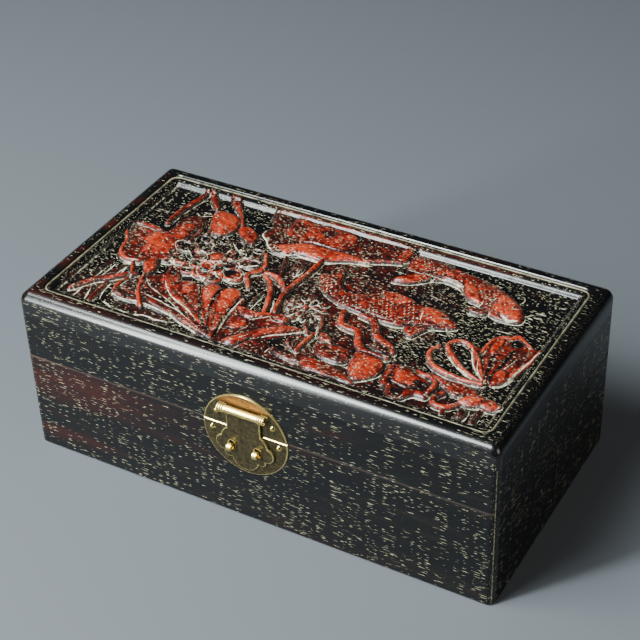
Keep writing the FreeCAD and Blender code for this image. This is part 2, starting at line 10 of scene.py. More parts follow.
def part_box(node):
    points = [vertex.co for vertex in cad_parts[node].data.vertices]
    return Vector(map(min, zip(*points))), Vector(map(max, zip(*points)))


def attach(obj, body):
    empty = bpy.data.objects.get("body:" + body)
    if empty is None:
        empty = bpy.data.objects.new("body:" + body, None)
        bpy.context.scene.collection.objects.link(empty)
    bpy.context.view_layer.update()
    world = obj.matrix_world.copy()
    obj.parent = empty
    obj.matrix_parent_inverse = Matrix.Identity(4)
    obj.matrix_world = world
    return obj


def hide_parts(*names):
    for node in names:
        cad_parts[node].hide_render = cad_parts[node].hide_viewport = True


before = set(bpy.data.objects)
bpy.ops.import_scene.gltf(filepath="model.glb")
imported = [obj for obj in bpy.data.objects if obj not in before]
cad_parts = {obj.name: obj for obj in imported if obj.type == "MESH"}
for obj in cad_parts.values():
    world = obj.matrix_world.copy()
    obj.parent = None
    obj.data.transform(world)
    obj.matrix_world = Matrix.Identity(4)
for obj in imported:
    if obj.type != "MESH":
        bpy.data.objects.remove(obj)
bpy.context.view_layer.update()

mm = 0.001


def linearColour(hexCode):
    channels = [int(hexCode[i:i + 2], 16) / 255 for i in (1, 3, 5)]
    return [c / 12.92 if c <= 0.04045 else ((c + 0.055) / 1.055) ** 2.4 for c in channels] + [1.0]


def addNode(tree, kind, inputs=(), **settings):
    # an input is a number, a hex colour, a node's output, or a node, which stands for its first output in use
    node = tree.nodes.new("ShaderNode" + kind)
    for name, value in settings.items():
        setattr(node, name, value)
    for socket, value in inputs.items() if isinstance(inputs, dict) else enumerate(inputs):
        if isinstance(value, bpy.types.Node):
            value = [output for output in value.outputs if output.enabled][0]
        if isinstance(value, bpy.types.NodeSocket):
            tree.links.new(value, node.inputs[socket])
        else:
            node.inputs[socket].default_value = linearColour(value) if isinstance(value, str) else value
    return node


def newMaterial(name):
    material = bpy.data.materials.new(name)
    material.use_nodes = True
    material.node_tree.nodes.clear()
    return material, partial(addNode, material.node_tree)


def rampStops(node, stops):
    ramp = node.color_ramp
    while len(ramp.elements) < len(stops):
        ramp.elements.new(0.5)
    for element, (place, hexCode) in zip(ramp.elements, stops):
        element.position = place
        element.color = linearColour(hexCode)
    return node


# ebony-like hardwood, stained black, oiled and rubbed, with pale paste left in its open pores: near
# black with thin cream dashes along the grain and a few red-brown streaks
woodLook = {
    "blackTone": "#060709",
    "darkTone": "#0b0b0b",
    "brownTone": "#1b1611",
    "redTone": "#3a120c",
    "pasteTone": "#d8d1ae",
    "dullPaste": "#76735a",
    "lineTone": "#ebe5ca",        # the paste along a cut or at a form's foot
    "dullLine": "#8a8268",
    "seamTone": "#94705f",
    "seamFlat": "#4a2c20",        # the seam's edges that face up or down
    "mitreTone": "#b4ac86",
    "grainSize": (70.0, 4.8, 4.8),      # mm, the lumps of tone along the grain
    "grainWarp": (0.8, 1.2, 1.2),       # mm, how far the grain wanders
    "heartSize": (140.0, 16.0, 16.0),   # mm, the patches of red heartwood
    "streakSize": (60.0, 6.0, 6.0),     # mm, the streaks in the red band
    "patchSize": (2.6, 1.6, 1.6),       # mm, the uneven rubbing of the carving
    "crowdSize": (24.0, 24.0, 24.0),    # mm, where the pores crowd together or thin out
    "pasteSize": (1.2, 1.2, 1.2),       # mm, the paste's paler and duller spots
    "seamSize": (14.0, 14.0, 14.0),     # mm, the stretches of the seam with more or less paste
    "seamReach": (0.18, 0.36),          # mm, from the seam to the start and end of its paste's edge
    "seamWall": (0.8, 1.2),             # mm, the same for its dull walls
    "mitreReach": (0.12, 0.55),         # mm, the same for the pale line down a mitre
    "edgeFacing": 0.55,                 # the upward slant in the middle of the plank's rounded edge
    "poreDepth": 0.2,                   # mm
    "roughness": 0.27,
    "bareRoughness": 0.29,        # where the stain is rubbed off
    "edgeRoughness": 0.22,        # the plank's rounded edge, oiled most
    "cutRoughness": 0.62,         # steep cuts, the plank's flat top and paste
    "seamRoughness": 0.75,
    "boardIor": 1.42,
    "waxIor": 1.60,
}
# length and width of a pore's cell in mm, its share of the cell, how many cells have one, strength
boardPores = [
    (9.0, 0.46, 0.21, 0.42, 1.0),
    (4.4, 0.42, 0.23, 0.44, 1.0),
    (24.0, 0.48, 0.17, 0.20, 0.95),
]
carvingPores = [
    (4.0, 0.68, 0.26, 0.64, 1.0),
    (2.1, 0.50, 0.28, 0.70, 1.0),
]
# from the black stain to the wood rubbed clean of it
stainRamp = [
    (0.05, "#0d0d0f"),
    (0.24, "#1f0a09"),
    (0.44, "#430f0a"),
    (0.60, "#66160d"),
    (0.78, "#8c2412"),
    (1.0, "#b0391b"),
]


def stretchedNoise(add, coords, lengths, detail=3.0, roughness=0.55):
    # noise whose lumps have about the given lengths in mm
    mapping = add("Mapping", {0: coords, 3: tuple(1 / (size * mm) for size in lengths)})
    return add("TexNoise", {"Vector": mapping, "Scale": 1.0, "Detail": detail, "Roughness": roughness})


def poreMask(add, coords, length, width, size, keep, seed):
    # one dash to a cell of a stretched cell pattern; only the share "keep" of the cells has one
    scale = (1 / (length * mm), 1 / (width * mm), 1 / (width * mm))
    stretched = add("Mapping", {0: coords, 1: (seed, seed * 1.7, seed * 0.6), 3: scale})
    cells = add("TexVoronoi", {"Vector": stretched, "Scale": 1.0, "Randomness": 1.0})
    chance = add("SeparateColor", (cells.outputs["Color"],)).outputs
    crowd = stretchedNoise(add, coords, woodLook["crowdSize"], 2.0)
    share = add("MapRange", (crowd, 0.38, 0.62, keep * 0.55, keep * 1.45))
    kept = add("Math", (chance[0], share), operation="LESS_THAN")
    reach = add("MapRange", (chance[1], 0.0, 1.0, size * 0.55, size * 1.25))
    inside = add("Math", (reach, cells.outputs["Distance"]), operation="SUBTRACT")
    return add("Math", (add("MapRange", (inside, 0.0, 0.08)), kept), operation="MULTIPLY")


def offFrom(add, value, middle):
    # how far a value is from a middle one, to either side
    return add("Math", (add("Math", (value, middle), operation="SUBTRACT"),), operation="ABSOLUTE")


def makeHardwood(name, grainAxis="x", seed=0.0, redShare=0.25, pores=boardPores, redEnd=0.0, redBand=None,
                 joints=True, carved=False, redAtTop=False):
    look = woodLook
    material, add = newMaterial(name)
    coords = add("TexCoord").outputs
    place = add("SeparateXYZ", (coords["Object"],)).outputs
    facing = add("SeparateXYZ", (coords["Normal"],)).outputs
    turn = (0.0, 0.0, -math.pi / 2 if grainAxis == "y" else 0.0)
    grain = add("Mapping", {0: coords["Object"], 1: (seed * 0.31, seed * 0.17, seed * 0.23), 2: turn})
    warp = add("TexNoise", {"Vector": grain, "Scale": 60.0, "Detail": 2.0}).outputs["Color"]
    reach = tuple(size * mm for size in look["grainWarp"])
    bent = add("VectorMath", (warp, reach, grain), operation="MULTIPLY_ADD")
    tone = stretchedNoise(add, bent, look["grainSize"], 4.0, 0.6)
    ground = rampStops(add("ValToRGB", (tone,)),
                       [(0.30, look["blackTone"]), (0.55, look["darkTone"]), (0.78, look["brownTone"])])
    heart = stretchedNoise(add, bent, look["heartSize"])
    redness = add("MapRange", (heart, 0.68 - 0.42 * redShare, 0.86 - 0.36 * redShare, 0.0, 0.85))
    if redEnd:   # the red heartwood fades out towards the box's other end
        fading = add("MapRange", (place[0], -0.02 * redEnd, 0.08 * redEnd, 1.0, 0.08))
        redness = add("Math", (redness, fading), operation="MULTIPLY")
    if redBand:   # the height in mm where the heartwood shows most, and how far it reaches up and down
        middle, reach = redBand[0] * mm, redBand[1] * mm
        offBand = offFrom(add, place[2], middle)
        fading = add("MapRange", (place[0], -0.100, -0.005, 1.0, 0.0))
        streaks = stretchedNoise(add, bent, look["streakSize"], 4.0, 0.6)
        band = add("MapRange", (offBand, 0.3 * reach, reach, 0.8, 0.0))
        for share in (fading, add("MapRange", (streaks, 0.36, 0.62, 0.15, 1.0))):
            band = add("Math", (band, share), operation="MULTIPLY")
        redness = add("Math", (redness, band), operation="MAXIMUM")
    if redAtTop:   # the flat top is rubbed thinner than the rounded edges
        flatTop = add("MapRange", (facing[2], 0.80, 0.97, 0.1, 1.0))
        redness = add("Math", (redness, flatTop), operation="MULTIPLY")
    wood = add("Mix", {0: redness, 6: ground, 7: look["redTone"]}, data_type="RGBA")
    if carved:   # the stain is rubbed through where the carving stands high
        # this attribute also carries painted sheen on front-facing slopes and a painted reflection on the
        # back quarter-round
        rubbedAndSheen = add("Attribute", attribute_name="rubbedAndSheen").outputs["Fac"]
        patchy = stretchedNoise(add, bent, look["patchSize"], 3.0, 0.65)
        patchy = add("MapRange", (patchy, 0.3, 0.7, -0.30, 0.30))
        uneven = add("Math", (patchy, 1.0, rubbedAndSheen), operation="MULTIPLY_ADD")
        rub = rampStops(add("ValToRGB", (uneven,)), stainRamp)
        wood = add("Mix", {0: add("MapRange", (rubbedAndSheen, 0.03, 0.18)), 6: wood, 7: rub}, data_type="RGBA")

    filled = None
    for number, (length, width, size, keep, strength) in enumerate(pores):
        layer = poreMask(add, bent, length, width, size, keep, seed + 1.0 + 4.0 * number)
        layer = add("Math", (layer, strength), operation="MULTIPLY")
        filled = layer if filled is None else add("Math", (filled, layer), operation="MAXIMUM")
    if redAtTop:   # and the rounded edges are oiled smooth, with few open pores
        unfilled = add("MapRange", (offFrom(add, facing[2], look["edgeFacing"]), 0.36, 0.42, 0.22, 1.0))
        filled = add("Math", (filled, unfilled), operation="MULTIPLY")
    tint = stretchedNoise(add, grain, look["pasteSize"], 1.0)
    dulled = add("MapRange", (tint, 0.38, 0.62))
    paste = add("Mix", {0: dulled, 6: look["dullPaste"], 7: look["pasteTone"]}, data_type="RGBA")
    colour = add("Mix", {0: filled, 6: wood, 7: paste}, data_type="RGBA")
    if carved:   # paste left at the foot of the carved forms; the threshold keeps its lines crisp
        lineMask = add("MapRange", (add("Attribute", attribute_name="paste").outputs["Fac"], 0.62, 0.74))
        dulled = add("MapRange", (tint, 0.35, 0.65))
        line = add("Mix", {0: dulled, 6: look["dullLine"], 7: look["lineTone"]}, data_type="RGBA")
        colour = add("Mix", {0: lineMask, 6: colour, 7: line}, data_type="RGBA")
        filled = add("Math", (filled, lineMask), operation="MAXIMUM")
    if joints:   # paste and a thin red edge left in the seam, and a pale line down each mitred corner
        seamReach, seamWall, mitreReach = ((look[key][0] * mm, look[key][1] * mm)
                                           for key in ("seamReach", "seamWall", "mitreReach"))
        offSeam = offFrom(add, place[2], seamHeight * mm)
        along = add("MapRange", (stretchedNoise(add, grain, look["seamSize"]), 0.36, 0.58, 0.3, 1.0))
        nearLeft = add("MapRange", (place[0], -0.112, -0.085, 1.0, 0.35))
        seamMask = add("MapRange", (offSeam, *seamReach, 0.8, 0.0))
        for share in (nearLeft, along):
            seamMask = add("Math", (seamMask, share), operation="MULTIPLY")
        flat = add("Math", (facing[2],), operation="ABSOLUTE")
        seamTone = add("Mix", {0: flat, 6: look["seamTone"], 7: look["seamFlat"]}, data_type="RGBA")
        colour = add("Mix", {0: seamMask, 6: colour, 7: seamTone}, data_type="RGBA")
        fromMiddle = [add("Math", (place[axis],), operation="ABSOLUTE") for axis in (0, 1)]
        diagonal = add("Math", fromMiddle, operation="SUBTRACT")
        offMitre = offFrom(add, diagonal, (halfLength - halfWidth) * mm)
        mitreMask = add("Math", (add("MapRange", (offMitre, *mitreReach, 0.8, 0.0)),
                                 add("MapRange", (tint, 0.40, 0.60, 0.1, 1.0))), operation="MULTIPLY")
        colour = add("Mix", {0: mitreMask, 6: colour, 7: look["mitreTone"]}, data_type="RGBA")

    rough = add("MapRange", (filled, 0.0, 1.0, look["roughness"], look["cutRoughness"]))
    if carved:   # the bare wood is duller than the oiled stain, and the chisel's steep walls stay unpolished
        bare = add("MapRange", (rubbedAndSheen, 0.05, 0.5, look["roughness"], look["bareRoughness"]))
        inField = add("MapRange", (place[1], 0.049, 0.050, 1.0, 0.0))
        steep = add("MapRange", (facing[2], 0.62, 0.80, look["cutRoughness"], 0.0))
        for other in (bare, add("Math", (steep, inField), operation="MULTIPLY")):
            rough = add("Math", (rough, other), operation="MAXIMUM")
    if redAtTop:
        oiled = add("MapRange", (facing[2], 0.90, 0.98, look["edgeRoughness"], look["cutRoughness"]))
        rough = add("Math", (rough, oiled), operation="MINIMUM")
    if joints:   # the seam's own edges are dull with paste
        pasted = add("MapRange", (offSeam, *seamWall, look["seamRoughness"], 0.0))
        rough = add("Math", (rough, pasted), operation="MAXIMUM")
    sunk = add("Math", (filled, -0.65), operation="MULTIPLY")
    relief = add("Math", (tone, 0.35, sunk), operation="MULTIPLY_ADD")
    bump = add("Bump", {"Strength": 0.28, "Distance": look["poreDepth"] * mm, "Height": relief})
    ior = look["waxIor"] if carved or redAtTop else look["boardIor"]
    finish = {"Base Color": colour, "Roughness": rough, "IOR": ior, "Normal": bump}
    add("OutputMaterial", {"Surface": add("BsdfPrincipled", finish)})
    return material


# cast brass: a dark patina on the flats, made darker as a painted reflection of dark surroundings, and rubbed
# bright on every bevel and round, where the plates' edges also carry a painted highlight
brassLook = {
    "brightTone": "#e2c879",
    "patinaAndDarkReflectionTone": "#211d12",
    "patinaAndDarkReflectionMetal": 0.55,
    "warmTone": "#7a4c1e",
    # the plates' worn edges, pale and low in metal: partly wear, partly a painted highlight
    "wornEdgeHighlightTone": "#f3dd93",
    "edgeReach": 0.45,       # mm
    "wornEdgeHighlightMetal": 0.35,
    "brightRoughness": 0.22,
    "patinaAndDarkReflectionRoughness": 0.45,
    "patchSize": (2.2, 2.2, 2.2),   # mm
    "pitSize": (0.7, 0.7, 0.7),     # mm
    "pitDepth": 0.1,         # mm
}


def makeBrass(name, brightAbove=None, warmAbove=None, polish=0.0):
    look = brassLook
    material, add = newMaterial(name)
    coords = add("TexCoord").outputs
    height = add("SeparateXYZ", (coords["Object"],)).outputs[2]
    facing = add("SeparateXYZ", (coords["Normal"],)).outputs
    # painted reflection: the flats that face the front and back take the dark patina, which also stands in
    # for the dark surroundings that such polished flats reflect
    flat = add("MapRange", (add("Math", (facing[1],), operation="ABSOLUTE"), 0.90, 0.985))
    patchy = stretchedNoise(add, coords["Object"], look["patchSize"], 5.0, 0.7)
    patchy = add("MapRange", (patchy, 0.35, 0.68, 1.0, 0.88))
    patinaAndDarkReflection = add("Math", (flat, patchy), operation="MULTIPLY")
    patinaAndDarkReflection = add("Math", (patinaAndDarkReflection, 1.0 - polish), operation="MULTIPLY")
    if brightAbove is not None:
        low, high = (brightAbove - 0.3) * mm, (brightAbove + 0.3) * mm
        patinaAndDarkReflection = add("Math", (patinaAndDarkReflection, add("MapRange", (height, low, high, 1.0, 0.0))), operation="MULTIPLY")
    dark = look["patinaAndDarkReflectionTone"]
    if warmAbove is not None:
        warm = add("MapRange", (height, (warmAbove - 1.0) * mm, (warmAbove + 1.5) * mm))
        warm = add("Math", (warm, patchy), operation="MULTIPLY")
        dark = add("Mix", {0: warm, 6: dark, 7: look["warmTone"]}, data_type="RGBA")
    colour = add("Mix", {0: patinaAndDarkReflection, 6: look["brightTone"], 7: dark}, data_type="RGBA")
    metal = add("MapRange", (patinaAndDarkReflection, 0.0, 1.0, 1.0, look["patinaAndDarkReflectionMetal"]))
    if polish == 0.0:   # the plates' edges are worn pale, and made paler and less metallic as a painted highlight
        rounded = add("Bevel", {"Radius": look["edgeReach"] * mm}, samples=6)
        trueNormal = add("NewGeometry").outputs["True Normal"]
        match = add("VectorMath", (rounded, trueNormal), operation="DOT_PRODUCT").outputs["Value"]
        # worn edges, with a painted highlight in their colour
        worn = add("Math", (add("MapRange", (match, 0.93, 0.995, 1.0, 0.0)),
                            add("MapRange", (patchy, 0.88, 1.0, 0.7, 1.0))), operation="MULTIPLY")
        colour = add("Mix", {0: worn, 6: colour, 7: look["wornEdgeHighlightTone"]}, data_type="RGBA")
        metal = add("Math", (worn, look["wornEdgeHighlightMetal"] - 1.0, metal), operation="MULTIPLY_ADD")
        metal = add("Math", (metal, look["wornEdgeHighlightMetal"]), operation="MAXIMUM")
    rough = add("MapRange", (patinaAndDarkReflection, 0.0, 1.0, look["brightRoughness"], look["patinaAndDarkReflectionRoughness"]))
    pits = stretchedNoise(add, coords["Object"], look["pitSize"])
    bump = add("Bump", {"Strength": 0.18, "Distance": look["pitDepth"] * mm, "Height": pits})
    finish = {"Base Color": colour, "Metallic": metal, "Roughness": rough, "Normal": bump}
    add("OutputMaterial", {"Surface": add("BsdfPrincipled", finish)})
    return material


# pressed wool felt, dyed dark red: soft and matt, with a short pale nap
feltLook = {
    "baseTone": "#5a1a1a",
    "napTone": "#742828",
    "roughness": 0.95,
    "napSheen": 0.3,
    "fibreSize": (0.5, 0.5, 0.5),   # mm, coarser than real fibres, so that they show
    "cloudSize": (9.0, 9.0, 9.0),   # mm
    "napDepth": 0.4,                # mm
}


def makeFelt(name):
    material, add = newMaterial(name)
    coords = add("TexCoord").outputs["Object"]
    fibres = stretchedNoise(add, coords, feltLook["fibreSize"], 4.0, 0.7)
    clouds = stretchedNoise(add, coords, feltLook["cloudSize"])
    mottled = add("Math", (fibres, 0.6), operation="MULTIPLY")
    mottled = add("Math", (clouds, 0.5, mottled), operation="MULTIPLY_ADD")
    mottled = add("MapRange", (mottled, 0.35, 0.75))
    colour = add("Mix", {0: mottled, 6: feltLook["baseTone"], 7: feltLook["napTone"]}, data_type="RGBA")
    bump = add("Bump", {"Strength": 0.5, "Distance": feltLook["napDepth"] * mm, "Height": fibres})
    finish = {"Base Color": colour, "Roughness": feltLook["roughness"], "Normal": bump}
    finish["Sheen Weight"] = feltLook["napSheen"]
    add("OutputMaterial", {"Surface": add("BsdfPrincipled", finish)})
    return material


# pale wax paste rubbed into the groove, dull and slightly uneven
pasteLook = {
    "wornRamp": [(0.32, "#3d3a2d"), (0.47, "#7d775e"), (0.65, "#a8a184")],
    "wornSize": (5.0, 5.0, 5.0),   # mm
    "roughness": 0.7,
}


def makePaste(name):
    material, add = newMaterial(name)
    worn = stretchedNoise(add, add("TexCoord").outputs["Object"], pasteLook["wornSize"], 4.0, 0.65)
    colour = rampStops(add("ValToRGB", (worn,)), pasteLook["wornRamp"])
    finish = {"Base Color": colour, "Roughness": pasteLook["roughness"]}
    add("OutputMaterial", {"Surface": add("BsdfPrincipled", finish)})
    return material


halfLength, halfWidth, lidTop = (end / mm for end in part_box("lid_carved_plank")[1])
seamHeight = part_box("lid_front_board")[0][2] / mm

longWood = makeHardwood("ebonyBoardAlongX", "x", 0.0, 0.30, redEnd=1.0, redBand=(44.0, 16.0))
lidFrontWood = makeHardwood("ebonyLidBoardAlongX", "x", 3.3, 0.05)
endWood = makeHardwood("ebonyBoardAlongY", "y", 7.1, 0.10)
plankWood = makeHardwood("ebonyPlank", "x", 11.9, 0.46, redEnd=1.0, joints=False, redAtTop=True)
plateBrass = makeBrass("agedBrassPlate", warmAbove=68.6)
flapBrass = makeBrass("agedBrassFlap", brightAbove=64.4)
roundBrass = makeBrass("rubbedBrass", polish=1.0)

nodeFinish = {   # every other node is small rubbed brass
    "base_front_board": longWood,
    "base_back_board": longWood,
    "base_left_board": endWood,
    "base_right_board": endWood,
    "base_floor_panel": longWood,
    "bay_divider": endWood,
    "lid_front_board": lidFrontWood,
    "lid_back_board": lidFrontWood,
    "lid_left_board": endWood,
    "lid_right_board": endWood,
    "lid_carved_plank": plankWood,
    "hasp_flap": flapBrass,
    "hasp_upper_plate": plateBrass,
    "hasp_lower_plate": plateBrass,
}
for name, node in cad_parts.items():
    for slot in node.material_slots:
        slot.material = nodeFinish.get(name, roundBrass)
print("materials given to", len(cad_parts), "nodes")

# the carving in the lid: a lotus pond with two carp, a traditional pattern, cut in relief out of the sunk
# field. The black stain is rubbed off the high parts, which show the wood's orange red, and pale paste is
# left at the foot of every form. It is a grid of heights over the field, and each form is laid over those
# before it. An outline or path is a list of x,y pairs in mm from the lid's middle.
carvingLook = {
    "pitch": 0.35,           # mm between the grid's lines
    "liftOff": 0.05,         # mm, the carved surface above the plank's plain ground
    "clearance": 0.04,       # mm, the least that it keeps above the plank's own forms
    "ceiling": 91.8,         # mm, nothing carved stands higher than this
    "lineReach": 0.78,       # mm over which a paste line's strength falls away
    "lineOut": 0.75,         # mm from a form's outline to the paste at its foot
    "frontward": 0.22,       # how much less paste stays at the back and left of a form, wiped out there
    "edgeLift": 0.48,        # the share of its rise that a form has at its very edge
    "wallReach": 0.5,        # mm from a form's outline to the foot of its wall
    "toolMarks": 0.12,       # mm
    "swells": 0.30,          # mm, the slow rise and fall of a form's surface
    "groundWaves": 0.05,     # mm
    "softening": 0.4,        # the share of the blurred height in the final one, as the cuts are rubbed smooth
}
lidMoulding = {   # mm, in from the lid's edge or down from its rim
    "grooveOut": 8.0,
    "grooveIn": 9.2,
    "ovoloDrop": 1.0,
    "ovoloWidth": 4.0,
    "fieldDepth": 3.6,
    "cornerRadius": 3.8,
}

pitch = carvingLook["pitch"]
sheetInset = lidMoulding["grooveIn"] + 0.3
reachX, reachY = halfLength - sheetInset, halfWidth - sheetInset
countX, countY = int(2 * reachX / pitch) + 1, int(2 * reachY / pitch) + 1
gridX, gridY = np.meshgrid(np.linspace(-reachX, reachX, countX), np.linspace(-reachY, reachY, countY))


def eased(share):
    # from 0 to 1 with a soft start and end
    share = np.clip(share, 0, 1)
    return share * share * (3 - 2 * share)


def ovoloDepth(x, y):
    # how far the ovolo and the field's ground lie below the rim, how near its foot is, and how far off
    m = lidMoulding
    overX = np.abs(x) - (halfLength - m["grooveIn"] - m["cornerRadius"])
    overY = np.abs(y) - (halfWidth - m["grooveIn"] - m["cornerRadius"])
    past = np.minimum(np.maximum(overX, overY), 0) + np.hypot(np.maximum(overX, 0), np.maximum(overY, 0))
    inset = m["cornerRadius"] - past
    share = np.clip(inset / m["ovoloWidth"], 0, 1)
    depth = m["ovoloDrop"] + (m["fieldDepth"] - m["ovoloDrop"]) * (1 - np.sqrt(1 - share ** 2))
    return depth, share, np.abs(inset - m["ovoloWidth"])


def smoothLine(points, closed=False, step=0.8):
    # a curve through every point
    p = np.reshape(points, (-1, 2)).astype(float)
    before, after = (p[-1], p[:2]) if closed else (2 * p[0] - p[1], [2 * p[-1] - p[-2]])
    p = np.vstack([before, p, after])
    line = []
    for a, b, c, d in zip(p[:-3], p[1:-2], p[2:-1], p[3:]):
        for t in np.arange(0, 1, 1 / max(1, int(np.hypot(*(c - b)) / step))):
            bend = (2 * a - 5 * b + 4 * c - d) * t ** 2 + (3 * b - a - 3 * c + d) * t ** 3
            line.append(0.5 * (2 * b + (c - a) * t + bend))
    return np.array(line + [p[-2] if not closed else line[0]])


def windowRound(line, margin):
    # the part of the grid near a line
    (x0, y0), (x1, y1) = line.min(0) - margin, line.max(0) + margin
    columns = slice(max(0, int((x0 - gridX[0, 0]) / pitch)), max(1, int((x1 - gridX[0, 0]) / pitch) + 2))
    rows = slice(max(0, int((y0 - gridY[0, 0]) / pitch)), max(1, int((y1 - gridY[0, 0]) / pitch) + 2))
    return rows, columns


def awayFrom(line, window):
    # distance from each grid point to the line, and how far along the line its nearest point is
    x, y = gridX[window], gridY[window]
    best = np.full(x.shape, np.inf)
    along = np.zeros(x.shape)
    run = 0.0
    for (ax, ay), (bx, by) in zip(line[:-1], line[1:]):
        length = math.hypot(bx - ax, by - ay) + 1e-9
        t = np.clip(((x - ax) * (bx - ax) + (y - ay) * (by - ay)) / length ** 2, 0, 1)
        gap = np.hypot(x - ax - t * (bx - ax), y - ay - t * (by - ay))
        closer = gap < best
        best = np.where(closer, gap, best)
        along = np.where(closer, run + t * length, along)
        run += length
    return best, along / run


def insideOf(line, window):
    # which grid points lie inside a closed line
    x, y = gridX[window], gridY[window]
    inside = np.zeros(x.shape, bool)
    for (ax, ay), (bx, by) in zip(line[:-1], line[1:]):
        if ay != by:
            inside ^= ((ay > y) != (by > y)) & (x < (bx - ax) * (y - ay) / (by - ay) + ax)
    return inside


def unevenness(size, seed):
    # smooth noise between -1 and 1 with lumps of about the given size in mm
    rows, columns = int(2 * halfWidth / size) + 3, int(2 * halfLength / size) + 3
    coarse = np.random.default_rng(seed).uniform(-1, 1, (rows, columns))
    at = (gridX + halfLength) / size, (gridY + halfWidth) / size
    i, j = at[1].astype(int), at[0].astype(int)
    u, v = at[0] - j, at[1] - i
    u, v = u * u * (3 - 2 * u), v * v * (3 - 2 * v)
    top = coarse[i, j] * (1 - u) + coarse[i, j + 1] * u
    return top * (1 - v) + (coarse[i + 1, j] * (1 - u) + coarse[i + 1, j + 1] * u) * v


def blurred(field, reach):
    # the mean over the reach in mm to every side
    cells = max(1, int(reach / pitch))
    for axis in (0, 1):
        pad = [(0, 0), (0, 0)]
        pad[axis] = (cells + 1, cells)
        total = np.cumsum(np.pad(field, pad, mode="edge"), axis=axis)
        ends = [slice(None)] * 2, [slice(None)] * 2
        ends[0][axis], ends[1][axis] = slice(2 * cells + 1, None), slice(0, -2 * cells - 1)
        field = (total[tuple(ends[0])] - total[tuple(ends[1])]) / (2 * cells + 1)
    return field


rimFall, onGround, footGap = ovoloDepth(gridX, gridY)
groundHeight = lidTop - rimFall + carvingLook["liftOff"]
height = groundHeight.copy()
# the sunk ground is rubbed a little, most round the middle and along the front
groundRed = 0.07 + 0.20 * eased(1 - np.hypot((gridX - 15) / 75, gridY / 90))
groundRed += 0.10 * eased((-20 - gridY) / 20)
groundRed *= 1.0 + 0.55 * unevenness(13.0, 41) + 0.35 * unevenness(4.0, 42)
redness = np.zeros(height.shape)
paste = np.zeros(height.shape)
pasteGaps = 0.14 * unevenness(3.1, 21) + 0.10 * unevenness(1.1, 22)


def leavePaste(window, gap, strength, outward=None):
    # paste that fades with its distance from a line
    laid = 1 - gap / carvingLook["lineReach"] - 0.45 * (1 - strength) + pasteGaps[window]
    if outward is not None:   # the way out of the form, found from the distance to it
        slopeY, slopeX = np.gradient(outward, pitch)
        laid -= carvingLook["frontward"] * (1 + 0.85 * slopeY - 0.5 * slopeX)
    paste[window] = np.maximum(paste[window], laid)


def layForm(outline, rise=2.0, edge=1.8, red=0.7, foot=0.9, dish=0.0, rim=2.0, tilt=(0.0, 0.0), blend=0.0,
            wiped=True):
    # a rounded form inside an outline, sunk by "dish" inside its rim where it is a hollow leaf and leaning by
    # "tilt" per mm; with "blend" it swells out of what is there already, with no edge of its own
    line = smoothLine(outline, closed=True)
    window = windowRound(line, 2.5)
    gap, _ = awayFrom(line, window)
    inside = insideOf(line, window)
    lift = carvingLook["edgeLift"]
    swell = lift + (1 - lift) * np.sin(np.clip(gap / edge, 0, 1) * math.pi / 2)
    middle = line.mean(0)
    lean = tilt[0] * (gridX[window] - middle[0]) + tilt[1] * (gridY[window] - middle[1])
    top = groundHeight[window] + rise * swell - dish * eased((gap - rim) / rim) + lean
    top = np.maximum(top, groundHeight[window] + 0.1)
    if blend:
        share = eased(gap / blend) * inside
        height[window] += (top - height[window]) * share
        redness[window] += (red - redness[window]) * share
        return
    wall = 0.5 * eased(1 - gap / carvingLook["wallReach"]) * np.maximum(top - height[window], 0)
    height[window] = np.where(inside, top, height[window] + wall)
    inner = red * (1 - 0.4 * eased((gap - rim) / rim) * (dish > 0))
    redness[window] = np.where(inside, inner, redness[window])
    paste[window] = np.where(inside, 0.0, paste[window])
    if foot:
        out = carvingLook["lineOut"] if wiped else 0.3
        outward = np.where(inside, -gap, gap) if wiped else None
        leavePaste(window, np.where(inside, gap + out, np.abs(gap - out)), foot, outward)


def layStem(path, width=2.4, rise=1.8, red=0.7, foot=0.9, taper=0.25):
    # a round stem along a path; the width is a number, or one for each end
    startWidth, endWidth = width if isinstance(width, tuple) else (width, width)
    line = smoothLine(path)
    window = windowRound(line, max(startWidth, endWidth) + 1.5)
    gap, along = awayFrom(line, window)
    half = (startWidth + (endWidth - startWidth) * along) / 2 * (1 - taper * np.abs(2 * along - 1) ** 3)
    inside = gap < half
    top = groundHeight[window] + rise * (0.45 + 0.55 * np.sqrt(np.clip(1 - (gap / half) ** 2, 0, 1)))
    height[window] = np.where(inside, np.maximum(top, height[window] - 0.3), height[window])
    redness[window] = np.where(inside, red, redness[window])
    paste[window] = np.where(inside, 0.0, paste[window])
    if foot:
        leavePaste(window, np.abs(gap - half - 0.45), foot, gap)


def cutLine(path, width=0.8, depth=0.3, strength=1.0):
    # a V cut filled with paste, as for a leaf's vein
    line = smoothLine(path)
    window = windowRound(line, 2.0)
    gap, along = awayFrom(line, window)
    half = width / 2 * (1.1 - 0.5 * np.abs(2 * along - 1) ** 3)
    height[window] -= depth * eased(1 - gap / (1.4 * half))
    leavePaste(window, np.maximum(gap - half + 0.45, 0), strength)


def rubPatch(outline, red, blend=3.0):
    # a patch where more or less of the stain is rubbed off
    line = smoothLine(outline, closed=True)
    window = windowRound(line, 1.0)
    share = eased(awayFrom(line, window)[0] / blend) * insideOf(line, window)
    redness[window] += (red - redness[window]) * share


def rubLine(path, width, red):
    # a streak along a path where more or less of the stain is rubbed off
    line = smoothLine(path)
    window = windowRound(line, width)
    share = eased(1.4 - awayFrom(line, window)[0] / (0.5 * width))
    redness[window] += (red - redness[window]) * share


